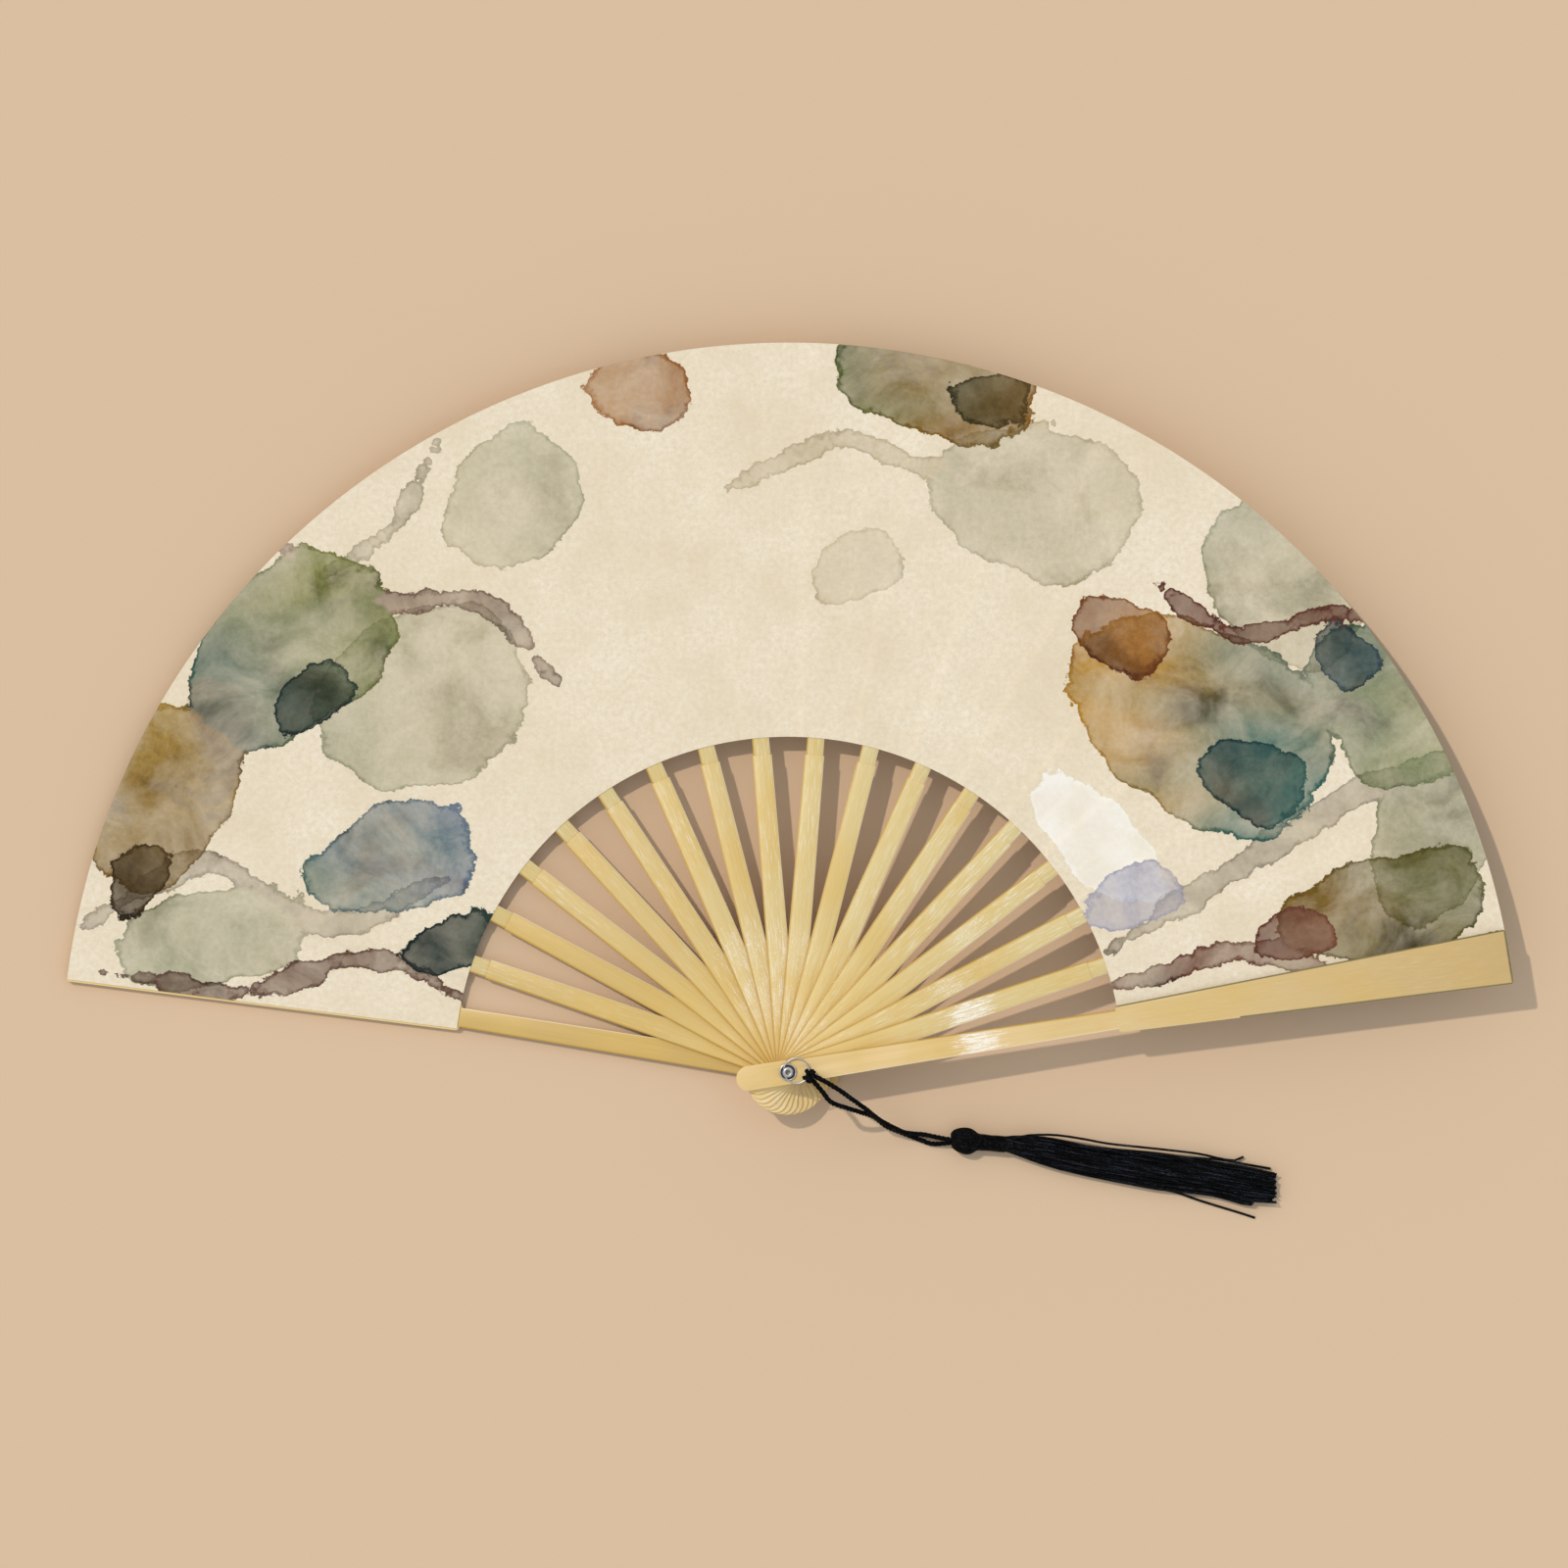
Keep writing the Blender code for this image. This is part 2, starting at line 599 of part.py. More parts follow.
def add_tassel(parts, surfaces):
    """Ring, cord and tassel, which swing round the rivet together."""
    axis = add_empty(parts, "tassel_axis")
    add_node(parts, "jump_ring", ring_mesh(), surfaces["metal"], axis)
    add_node(parts, "ring_knot", knot_mesh(), surfaces["cord"], axis)
    for name, route in (("cord_upper_strand", UPPER_STRAND), ("cord_lower_strand", LOWER_STRAND)):
        strand = tube(name, smooth_route(route, CORD_POINT_SPACING), CORD_RADIUS)
        add_node(parts, name, strand, surfaces["cord"], axis)
    add_node(parts, "tassel_knot", ball(TASSEL_KNOT_RADII, tassel_matrix(), 20, 14), surfaces["cord"], axis)
    turns = binding_points()
    gap = least_gap(turns, BINDING_WIRE_RADIUS, ROUND_STEPS * 3 // 4)
    print(f"least gap of the neck binding to itself: {gap / MM:.2f} mm")
    add_node(parts, "neck_binding", tube("binding", turns, BINDING_WIRE_RADIUS, 1), surfaces["cord"], axis)
    add_node(parts, "tassel_skirt", skirt_mesh(), surfaces["cord"], axis)


def main():
    clear_scene()
    parts = new_collection("folding_fan")
    surfaces = {
        "guard": new_material("bamboo_guard", 224, 194, 124, 0.38),
        "rib": new_material("bamboo_rib", 221, 196, 122, 0.35),
        "leaf": new_material("leaf_cloth", 232, 222, 196, 0.85),
        "metal": new_material("nickel_plate", 196, 197, 200, 0.25, 1.0),
        "cord": new_material("black_thread", 14, 15, 18, 0.8),
    }
    add_sticks(parts, surfaces)
    add_rivet(parts, surfaces)
    add_tassel(parts, surfaces)


main()
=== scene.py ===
# %% [markdown]
# # A folding hand fan, open and lying flat
#
# Eighteen bamboo sticks turn on one rivet and carry a printed cloth leaf. A wire ring at the rivet
# holds a twisted cord with a tassel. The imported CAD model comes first, as a fixed frame, and every
# piece made here takes its place and levels from it. Units are metres, and the rivet is the Z axis.

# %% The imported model
import json
import math
import random

import bmesh
import bpy
import numpy as np
from mathutils import Matrix, Vector

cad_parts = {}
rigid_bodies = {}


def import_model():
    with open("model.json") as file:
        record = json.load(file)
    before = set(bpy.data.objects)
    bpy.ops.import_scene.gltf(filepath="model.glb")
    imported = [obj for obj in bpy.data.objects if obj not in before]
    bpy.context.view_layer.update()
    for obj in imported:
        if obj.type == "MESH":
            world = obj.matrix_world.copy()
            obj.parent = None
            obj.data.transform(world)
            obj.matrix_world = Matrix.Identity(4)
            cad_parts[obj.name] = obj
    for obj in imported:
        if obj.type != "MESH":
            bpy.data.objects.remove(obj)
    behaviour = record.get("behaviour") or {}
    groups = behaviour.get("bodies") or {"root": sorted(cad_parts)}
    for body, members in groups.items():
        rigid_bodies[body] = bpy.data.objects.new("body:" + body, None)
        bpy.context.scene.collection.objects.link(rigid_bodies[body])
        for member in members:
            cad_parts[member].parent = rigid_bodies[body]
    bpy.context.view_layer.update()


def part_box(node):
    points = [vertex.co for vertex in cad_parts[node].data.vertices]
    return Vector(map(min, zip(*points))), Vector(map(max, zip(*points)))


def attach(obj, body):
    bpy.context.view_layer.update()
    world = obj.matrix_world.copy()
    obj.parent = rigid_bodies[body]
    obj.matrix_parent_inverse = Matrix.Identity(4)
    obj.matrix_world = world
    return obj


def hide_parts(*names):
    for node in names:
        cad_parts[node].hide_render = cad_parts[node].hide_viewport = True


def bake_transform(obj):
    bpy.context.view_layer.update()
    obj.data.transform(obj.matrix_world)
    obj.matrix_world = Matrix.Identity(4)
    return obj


for leftover in list(bpy.data.objects):
    bpy.data.objects.remove(leftover)
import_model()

# %% [markdown]
# ## Sizes that every step shares
#
# The open spread is counted in pitches, the angle from one stick to the next. Levels are read from
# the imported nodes, so that a piece made here lies exactly where its solid lies.

# %% Shared sizes
MM = 0.001
REAR_ANGLE = math.radians(170.8)
FRONT_ANGLE = math.radians(9.1)
RIB_COUNT = 16
PITCH = (REAR_ANGLE - FRONT_ANGLE) / (RIB_COUNT + 1)
RIB_NAMES = [f"rib_{number:02d}" for number in range(1, RIB_COUNT + 1)]
PANEL_NAMES = [f"leaf_panel_{number:02d}" for number in range(RIB_COUNT + 2)]
UNEVEN_TURN = 2.4  # radians; steps of this angle never fall in line, so copies differ by its sine
print(f"pitch {math.degrees(PITCH):.2f} degrees, {RIB_COUNT} ribs")

# %% [markdown]
# ## The camera
#
# The photograph looks straight down from far away: the two guards and the leaf show no
# foreshortening. A long lens three metres up does the same. The picture's side and the rivet's
# place in it set where the camera stands.

# %% Camera
PHOTO_SIDE = 1600
PIXEL = 0.296 * MM
RIVET_PIXEL = (804, 1093)
CAMERA_HEIGHT = 3.0
LOOK_LEVEL = 0.010
SENSOR = 36.0

middle_x = (PHOTO_SIDE / 2 - RIVET_PIXEL[0]) * PIXEL
middle_y = (RIVET_PIXEL[1] - PHOTO_SIDE / 2) * PIXEL
bpy.ops.object.camera_add(location=(middle_x, middle_y, CAMERA_HEIGHT + LOOK_LEVEL), rotation=(0, 0, 0))
camera = bpy.context.object
camera.name = "camera_above"
camera.data.sensor_width = SENSOR
camera.data.lens = SENSOR * CAMERA_HEIGHT / (PHOTO_SIDE * PIXEL)
camera.data.clip_end = 20.0
bpy.context.scene.camera = camera
print(f"lens {camera.data.lens:.0f} mm, view {PHOTO_SIDE * PIXEL / MM:.0f} mm wide")

# %% [markdown]
# ## Small helpers
#
# One function turns a colour code into the linear numbers that a shader needs, and one adds a node
# with its settings and links. The others select in edit mode by place, apply a modifier, and file a
# finished piece under its body.

# %% Helpers for colours and nodes
def colour(code, alpha=1.0):
    """Linear colour of an sRGB code such as #C8B070."""
    channels = [int(code[start:start + 2], 16) / 255 for start in (1, 3, 5)]
    linear = [c / 12.92 if c <= 0.04045 else ((c + 0.055) / 1.055) ** 2.4 for c in channels]
    return (*linear, alpha)


def add(tree, kind, sockets=None, **settings):
    """Add a node. A socket goes by name or number and takes a value, a node or a node's output."""
    node = tree.nodes.new("ShaderNode" + kind)
    for name, value in settings.items():
        setattr(node, name, value)
    for name, value in (sockets or {}).items():
        if isinstance(name, int):
            socket = node.inputs[name]
        else:
            socket = next(s for s in node.inputs if s.enabled and s.name == name)
        if isinstance(value, bpy.types.Node):
            value = next(s for s in value.outputs if s.enabled)
        if isinstance(value, bpy.types.NodeSocket):
            tree.links.new(value, socket)
        else:
            socket.default_value = value
    return node


def new_finish(name):
    """An empty material and its node tree."""
    finish = bpy.data.materials.new(name)
    finish.use_nodes = True
    finish.node_tree.nodes.clear()
    return finish, finish.node_tree


# %% Helpers for pieces
WELD = 1e-6  # metres; corners nearer to each other than this are one


def pick(piece, kind, wanted):
    """Enter edit mode with only those vertices, edges or faces selected whose middle fits a test."""
    bpy.context.view_layer.objects.active = piece
    bpy.ops.object.mode_set(mode="EDIT")
    bpy.ops.mesh.select_mode(type=kind)
    bpy.ops.mesh.select_all(action="DESELECT")
    work = bmesh.from_edit_mesh(piece.data)
    for item in {"VERT": work.verts, "EDGE": work.edges, "FACE": work.faces}[kind]:
        corners = [item.co] if kind == "VERT" else [corner.co for corner in item.verts]
        middle = sum(corners, Vector()) / len(corners)
        spread = max((corner - middle).length for corner in corners)
        item.select_set(bool(wanted(middle, spread)))
    bmesh.update_edit_mesh(piece.data)


def leave_edit():
    bpy.ops.object.mode_set(mode="OBJECT")


def alone(piece):
    """Make this the only selected object, and the active one."""
    bpy.ops.object.select_all(action="DESELECT")
    piece.select_set(True)
    bpy.context.view_layer.objects.active = piece


def modify(piece, kind, **settings):
    """Add a modifier and apply it at once."""
    alone(piece)
    modifier = piece.modifiers.new(kind.lower(), kind)
    for name, value in settings.items():
        setattr(modifier, name, value)
    bpy.ops.object.modifier_apply(modifier=modifier.name)


def settle(piece):
    """Put the object's place into its mesh, so that the object sits at the origin."""
    alone(piece)
    bpy.ops.object.transform_apply(location=True, rotation=True, scale=True)


def join(pieces, name):
    """Join several objects into one."""
    bpy.ops.object.select_all(action="DESELECT")
    for piece in pieces:
        piece.select_set(True)
    bpy.context.view_layer.objects.active = pieces[0]
    bpy.ops.object.join()
    pieces[0].name = name
    return pieces[0]


def file_piece(piece, name, finish, body=None, stands_for=(), smooth=35.0):
    """Name, finish and smooth a piece, and file it with its body and the solids it stands for."""
    piece.name = piece.data.name = name
    piece.data.materials.clear()
    piece.data.materials.append(finish)
    alone(piece)
    bpy.ops.object.shade_smooth_by_angle(angle=math.radians(smooth))
    if body:
        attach(piece, body)
    if stands_for:
        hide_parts(*stands_for)
    print(f"{name}: {len(piece.data.polygons)} faces")
    return piece


# %% [markdown]
# ## The twisted cord
#
# A tassel's cord is three plies of black thread laid round each other: a cord of 1.3 mm, and 1.6 mm
# over its lobes. It could be a plain tube with a bumpy finish, but its outline would stay straight,
# and the outline is what shows on black. So each ply is a tube of its own on a helix round the
# cord's centreline.

# %% Routes and plies
CORD_PLIES = 3
LAY_LENGTH = 4.2 * MM
PLY_RADIUS = 0.39 * MM
PLY_PRESS = 0.92  # plies press into each other a little, so they lie nearer than their width
CORD_STEP = 0.26 * MM
ROUTE_STEPS = 24  # fine steps between two points of a route, before they are spaced evenly
# The two strands' routes in millimetres, from the ring's knot into the tassel's head
UPPER_STRAND = (
    (8.7, -1.5, 22.1), (11.6, -3.0, 22.0), (14.2, -4.6, 21.9), (16.2, -5.9, 21.3), (19.8, -8.6, 18.9),
    (23.7, -11.5, 14.9), (27.8, -14.8, 10.9), (33.4, -17.9, 6.2), (36.1, -18.9, 4.4), (41.4, -19.5, 2.3),
    (46.5, -20.5, 2.9), (49.3, -20.9, 3.8), (50.9, -21.1, 4.0),
)
LOWER_STRAND = (
    (7.7, -2.75, 22.1), (10.4, -5.9, 22.0), (13.0, -9.0, 21.6), (17.5, -10.8, 18.7), (22.1, -12.4, 14.0),
    (26.0, -13.9, 9.8), (29.9, -16.9, 6.4), (34.5, -18.9, 2.9), (39.1, -20.7, 1.2), (43.5, -22.2, 1.1),
    (47.3, -22.1, 2.2), (49.3, -21.8, 3.0), (50.9, -21.6, 3.6),
)


def smooth_route(route, step):
    """Evenly spaced points, in metres, on a smooth curve through a route's points in millimetres."""
    knots = [Vector(point) * MM for point in route]
    ends = [2 * knots[0] - knots[1]] + knots + [2 * knots[-1] - knots[-2]]
    fine = []
    for before, start, end, after in zip(ends, ends[1:], ends[2:], ends[3:]):
        for index in range(ROUTE_STEPS):
            t = index / ROUTE_STEPS
            bend = (2 * before - 5 * start + 4 * end - after) * t ** 2
            curl = (3 * start - before - 3 * end + after) * t ** 3
            fine.append(start + ((end - before) * t + bend + curl) / 2)
    fine.append(knots[-1])
    fine = np.array(fine)
    along = np.concatenate([[0.0], np.cumsum(np.linalg.norm(np.diff(fine, axis=0), axis=1))])
    marks = np.linspace(0.0, along[-1], max(2, round(along[-1] / step)) + 1)
    points = np.stack([np.interp(marks, along, fine[:, axis]) for axis in range(3)], axis=1)
    return [Vector(point) for point in points]


def route_length(points):
    return sum((after - before).length for before, after in zip(points, points[1:]))


def across(points):
    """Two directions square to the route at each point, carried along without twist."""
    side = None
    for index, point in enumerate(points):
        ahead = (points[min(index + 1, len(points) - 1)] - points[max(index - 1, 0)]).normalized()
        side = ahead.orthogonal() if side is None else side - ahead * side.dot(ahead)
        side.normalize()
        yield point, side, ahead.cross(side)


def tubes(name, lines, radius, rings=2):
    """Round tubes along several lines, as one mesh with closed ends."""
    curve = bpy.data.curves.new(name, "CURVE")
    curve.dimensions = "3D"
    curve.bevel_depth = radius
    curve.bevel_resolution = rings
    curve.use_fill_caps = True
    for line in lines:
        spline = curve.splines.new("POLY")
        spline.points.add(len(line) - 1)
        spline.points.foreach_set("co", np.array([(*point, 1.0) for point in line]).ravel())
    piece = bpy.data.objects.new(name, curve)
    bpy.context.scene.collection.objects.link(piece)
    alone(piece)
    bpy.ops.object.convert(target="MESH")
    return bpy.context.object


def plies_of(points, radius):
    """The plies' own lines round a cord's centreline."""
    step = route_length(points) / (len(points) - 1)
    turn = math.tau * step / LAY_LENGTH
    lines = [[] for _ in range(CORD_PLIES)]
    reach = radius / math.sin(math.pi / CORD_PLIES) * PLY_PRESS
    for index, (point, side, other) in enumerate(across(points)):
        for ply, line in enumerate(lines):
            angle = turn * index + math.tau * ply / CORD_PLIES
            line.append(point + (side * math.cos(angle) + other * math.sin(angle)) * reach)
    return lines


def laid_cord(name, points, radius=PLY_RADIUS):
    return tubes(name, plies_of(points, radius), radius, rings=1)


# %% The two strands
upper_route = smooth_route(UPPER_STRAND, CORD_STEP)
lower_route = smooth_route(LOWER_STRAND, CORD_STEP)
upper_strand = laid_cord("cord_upper", upper_route)
lower_strand = laid_cord("cord_lower", lower_route)
for strand, route in ((upper_strand, upper_route), (lower_strand, lower_route)):
    print(f"{strand.name}: {route_length(route) / MM:.1f} mm long")

# %% [markdown]
# ## Black rayon thread
#
# Cord and tassel are rayon, dyed a deep black that gives back hardly any light. The finish is rough
# with a weak gloss. The filaments of a thread are far too fine to model, so two noises paint their
# glints in a lighter colour: one drawn out along the tassel tells one thread from the next, and fine
# specks show where single filaments turn to the light.

# %% Thread finish
TASSEL_RUN = math.radians(-11.0)
THREAD_WIDTH = 0.5 * MM
SPECK = 0.36 * MM  # drawn coarse: a real filament is too fine to show
FILAMENT_RELIEF = 0.06 * MM


def thread_finish(name, base, glint, lay, roughness):
    """lay: how long the streaks are along the tassel; glint: the colour of a lit filament."""
    finish, tree = new_finish(name)
    place = add(tree, "TexCoord")
    specks = add(tree, "TexNoise", {
        "Vector": place.outputs["Object"], "Scale": 1 / SPECK, "Detail": 2.0})
    drawn = add(tree, "Mapping", {
        "Vector": place.outputs["Object"], "Rotation": (0.0, 0.0, TASSEL_RUN),
        "Scale": (lay, THREAD_WIDTH, THREAD_WIDTH)}, vector_type="TEXTURE")
    streaks = add(tree, "TexNoise", {"Vector": drawn, "Scale": 1.0, "Detail": 3.0, "Roughness": 0.6})
    lit = add(tree, "Math", {0: specks, 1: streaks}, operation="ADD")
    lit = add(tree, "MapRange", {"Value": lit, "From Min": 1.02, "From Max": 1.34})
    shade = add(tree, "Mix", {"Factor": lit, "A": colour(base), "B": colour(glint)}, data_type="RGBA")
    relief = add(tree, "Bump", {"Strength": 0.6, "Distance": FILAMENT_RELIEF, "Height": specks})
    shader = add(tree, "BsdfPrincipled", {
        "Base Color": shade, "Roughness": roughness, "Normal": relief, "Specular IOR Level": 0.06,
    })
    add(tree, "OutputMaterial", {"Surface": shader})
    return finish


cord_finish = thread_finish("rayon_cord_black", "#020203", "#252932", 1.2 * MM, 0.6)
skirt_finish = thread_finish("rayon_thread_black", "#010203", "#3A404C", 14.0 * MM, 0.55)
print("thread finishes:", cord_finish.name, skirt_finish.name)

# %% [markdown]
# ## Nickel-plated metal
#
# Rivet and cups are pressed from thin steel and plated with nickel: a grey mirror, dulled by fine
# scratches and handling. Shade is painted into the head's dimple and into the dish of each cup, so
# their rims stand out bright. It could be painted on by hand, but as the pieces are round, their
# distance from the rivet's axis says where it lies. The ring is plain plated wire, duller, with no painted
# shade.

# %% Metal finish
WEAR_SIZE = 1.0 * MM
WEAR_RELIEF = 0.02 * MM
# colour of the painted shade in the head's dimple and the cups' dishes
RECESS_SHADE = "#3A393C"
RECESS_SHADE_FADE = 0.08 * MM


def metal_finish(name, base, dull, roughness, recess_shade):
    """The last argument lists bands of painted shade, each between two distances from the rivet's axis, with
    its strength.
    """
    finish, tree = new_finish(name)
    place = add(tree, "TexCoord")
    wear = add(tree, "TexNoise", {
        "Vector": place.outputs["Object"], "Scale": 1 / WEAR_SIZE, "Detail": 4.0})
    shade = add(tree, "Mix", {"Factor": wear, "A": colour(base), "B": colour(dull)}, data_type="RGBA")
    flat = add(tree, "VectorMath", {
        0: place.outputs["Object"], 1: (1.0, 1.0, 0.0)}, operation="MULTIPLY")
    radius = add(tree, "VectorMath", {0: flat}, operation="LENGTH").outputs["Value"]
    for inner, outer, strength in recess_shade:
        after = add(tree, "MapRange", {
            "Value": radius, "From Min": inner - RECESS_SHADE_FADE, "From Max": inner + RECESS_SHADE_FADE})
        until = add(tree, "MapRange", {
            "Value": radius, "From Min": outer + RECESS_SHADE_FADE, "From Max": outer - RECESS_SHADE_FADE})
        band = add(tree, "Math", {0: after, 1: until}, operation="MULTIPLY")
        band = add(tree, "Math", {0: band, 1: strength}, operation="MULTIPLY")
        shade = add(tree, "Mix", {"Factor": band, "A": shade, "B": colour(RECESS_SHADE)}, data_type="RGBA")
    haze = add(tree, "MapRange", {
        "Value": wear, "From Min": 0.3, "From Max": 0.7,
        "To Min": roughness - 0.06, "To Max": roughness + 0.1,
    })
    relief = add(tree, "Bump", {"Strength": 0.15, "Distance": WEAR_RELIEF, "Height": wear})
    shader = add(tree, "BsdfPrincipled", {
        "Base Color": shade, "Metallic": 1.0, "Roughness": haze, "Normal": relief,
    })
    add(tree, "OutputMaterial", {"Surface": shader})
    return finish


# Bands of painted shade in the head's dimple and in each cup's dish: inner and outer radius, strength
DIMPLE_SHADE = (-0.2 * MM, 0.8 * MM, 0.75)
DISH_SHADE = (1.5 * MM, 1.9 * MM, 0.15)
nickel = metal_finish(
    "nickel_plated_steel", "#CDD2DC", "#9EA3AE", 0.28, (DIMPLE_SHADE, DISH_SHADE))
wire = metal_finish("nickel_plated_wire", "#C0C6D4", "#9DA3B0", 0.34, ())
print("metal finishes:", nickel.name, wire.name)

# %% [markdown]
# ## The wire ring
#
# A jump ring is wire bent round until its ends nearly meet. A torus would do for a welded ring; this
# one is a small disc spun round the ring's centre, which leaves the slit where the ends face.

# %% Wire ring
RING_RADIUS = 3.8 * MM
RING_WIRE = 0.25 * MM
RING_LEVEL = 21.63 * MM
RING_OFFSET = 2.6 * MM
RING_TILT = math.radians(5.0)
RING_DIRECTION = math.radians(10.0)
RING_SLIT = math.radians(2.5)
RING_SLIT_PLACE = math.radians(-45.0)
RING_STEPS = 96
WIRE_STEPS = 16

ring_place = (
    Matrix.Translation((0.0, 0.0, RING_LEVEL)) @ Matrix.Rotation(RING_DIRECTION, 4, "Z")
    @ Matrix.Rotation(-RING_TILT, 4, "Y") @ Matrix.Translation((RING_OFFSET, 0.0, 0.0))
)


def spun_ring():
    """Wire of a round section spun about Z, with a closed end on each side of its slit."""
    bpy.ops.object.select_all(action="DESELECT")
    bpy.ops.mesh.primitive_circle_add(
        vertices=WIRE_STEPS, radius=RING_WIRE, fill_type="NGON", location=(RING_RADIUS, 0, 0),
        rotation=(math.pi / 2, 0, 0),
    )
    piece = bpy.context.object
    settle(piece)
    pick(piece, "FACE", lambda middle, spread: True)
    bpy.ops.mesh.spin(
        steps=RING_STEPS, angle=math.tau - RING_SLIT, center=(0, 0, 0), axis=(0, 0, 1),
    )
    bpy.ops.mesh.select_all(action="SELECT")
    bpy.ops.mesh.remove_doubles(threshold=WELD)
    bpy.ops.mesh.normals_make_consistent(inside=False)
    leave_edit()
    return piece


wire_ring = spun_ring()
wire_ring.data.transform(ring_place @ Matrix.Rotation(RING_SLIT_PLACE, 4, "Z"))
file_piece(wire_ring, "wire_ring", wire, "tassel", ["jump_ring"])

# %% [markdown]
# ## The knot on the ring
#
# The doubled cord is looped onto the ring with a lark's head: it passes over the wire, round and
# beneath it, and its bight lies across both ends. The cord is laid along that path in three plies, so
# the lump has the lobes that its outline shows, and a small core closes the holes between them.

# %% Ring knot
KNOT_DIRECTION = math.radians(-31.0)
# From the wire's middle: outwards, along the wire and up
KNOT_ROUTE = (
    (1.9, 0.5, 0.0), (1.1, 0.62, 0.42), (0.25, 0.8, 0.82), (-0.55, 0.98, 0.62), (-0.88, 1.1, -0.05),
    (-0.45, 1.25, -0.68), (0.3, 1.5, -0.72), (0.95, 1.62, -0.35), (1.3, 1.4, 0.35), (1.32, 0.75, 0.85),
    (1.25, 0.0, 0.95), (1.32, -0.75, 0.85), (1.3, -1.4, 0.35), (0.95, -1.62, -0.35), (0.3, -1.5, -0.72),
    (-0.45, -1.25, -0.68), (-0.88, -1.1, -0.05), (-0.55, -0.98, 0.62), (0.25, -0.8, 0.82),
    (1.1, -0.7, 0.42), (1.7, -0.9, 0.0),
)
KNOT_PLY = 0.34 * MM
KNOT_END = 4  # the knot's cord runs on inside the strands, up to this point of each
KNOT_CORE = (1.1, 1.45, 0.8)
KNOT_CORE_PLACE = (0.35, 0.0, 0.0)

knot_place = (
    ring_place @ Matrix.Rotation(KNOT_DIRECTION, 4, "Z") @ Matrix.Translation((RING_RADIUS, 0, 0)))
knot_loops = [tuple(knot_place @ (Vector(point) * MM) / MM) for point in KNOT_ROUTE]
knot_ends = [tuple(route[KNOT_END] / MM) for route in (upper_route, lower_route)]
knot_route = smooth_route(
    [knot_ends[0], UPPER_STRAND[0], *knot_loops, LOWER_STRAND[0], knot_ends[1]], CORD_STEP)
bpy.ops.object.select_all(action="DESELECT")
bpy.ops.mesh.primitive_uv_sphere_add(segments=20, ring_count=12, radius=1.0)
knot_core = bpy.context.object
knot_core.data.transform(
    knot_place @ Matrix.Translation(Vector(KNOT_CORE_PLACE) * MM)
    @ Matrix.Diagonal((*[radius * MM for radius in KNOT_CORE], 1.0)))
ring_knot = join([laid_cord("ring_knot_cord", knot_route, KNOT_PLY), knot_core], "ring_knot_cord")
file_piece(ring_knot, "ring_knot_cord", cord_finish, "tassel", ["ring_knot"], smooth=60)
print(f"ring knot takes {route_length(knot_route) / MM:.0f} mm of cord")

# %% [markdown]
# ## The tassel's head
#
# The head is the tassel's own threads, drawn over a hidden knot and bound below it. So the threads run
# from the dimple where the cord goes in, over the head and into the neck. Each is laid along the
# head's outline, turned on by a little more than its own width, over a plain core that stops light.

# %% Tassel head
knot_low, knot_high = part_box("tassel_knot")
TASSEL_CENTRE = (knot_low + knot_high) / 2
TASSEL_DIRECTION = math.radians(-5.0)
# Along the tassel from the middle of the head, and out from its axis
HEAD_OUTLINE = (
    (-3.0, 0.5), (-3.95, 1.0), (-4.25, 1.8), (-3.75, 2.7), (-2.8, 3.35), (-1.5, 3.84),
    (-0.2, 4.05), (1.2, 3.96), (2.3, 3.45), (3.2, 2.8), (4.1, 2.45), (5.0, 2.4),
)
HEAD_STEP = 0.4 * MM
HEAD_THREADS = 48
HEAD_THREAD = 0.29 * MM
HEAD_THREAD_PROUD = 0.05 * MM
HEAD_TWIST = math.radians(24.0)
HEAD_LEAN = 0.13
HEAD_LEAN_END = 4.0 * MM
HEAD_LEAN_RUN = 6.0 * MM
HEAD_FLATNESS = 0.96
HEAD_CORE = 3.5 * MM
tassel_place = Matrix.Translation(TASSEL_CENTRE) @ Matrix.Rotation(TASSEL_DIRECTION, 4, "Z")


def head_point(along, out, angle):
    """A point on the head, whose upper side leans back towards the ring."""
    aside, up = out * math.cos(angle), out * math.sin(angle) * HEAD_FLATNESS
    fade = min(1.0, max(0.0, (HEAD_LEAN_END - along) / HEAD_LEAN_RUN))
    return tassel_place @ Vector((along - HEAD_LEAN * aside * fade, aside, up))


def head_threads():
    outline = smooth_route([(along, out, 0.0) for along, out in HEAD_OUTLINE], HEAD_STEP)
    lines = []
    for number in range(HEAD_THREADS):
        first = math.tau * number / HEAD_THREADS
        proud = HEAD_THREAD_PROUD * math.sin(number * UNEVEN_TURN)
        lines.append([
            head_point(point.x, point.y - HEAD_THREAD + proud, first + HEAD_TWIST * index / len(outline))
            for index, point in enumerate(outline)
        ])
    return lines


bpy.ops.object.select_all(action="DESELECT")
bpy.ops.mesh.primitive_uv_sphere_add(segments=32, ring_count=20, radius=1.0)
head_core = bpy.context.object
head_core.data.transform(tassel_place @ Matrix.Diagonal((HEAD_CORE, HEAD_CORE, HEAD_CORE, 1.0)))
tassel_ball = join([tubes("head", head_threads(), HEAD_THREAD, rings=1), head_core], "tassel_ball")
file_piece(tassel_ball, "tassel_ball", cord_finish, "tassel", ["tassel_knot"], smooth=60)

# %% [markdown]
# ## The bound neck
#
# Below the head, thread is wound tight round the bundle, turn beside turn. One long helix of real
# thread thickness shows each turn, and a plain core stands for the bundle inside.

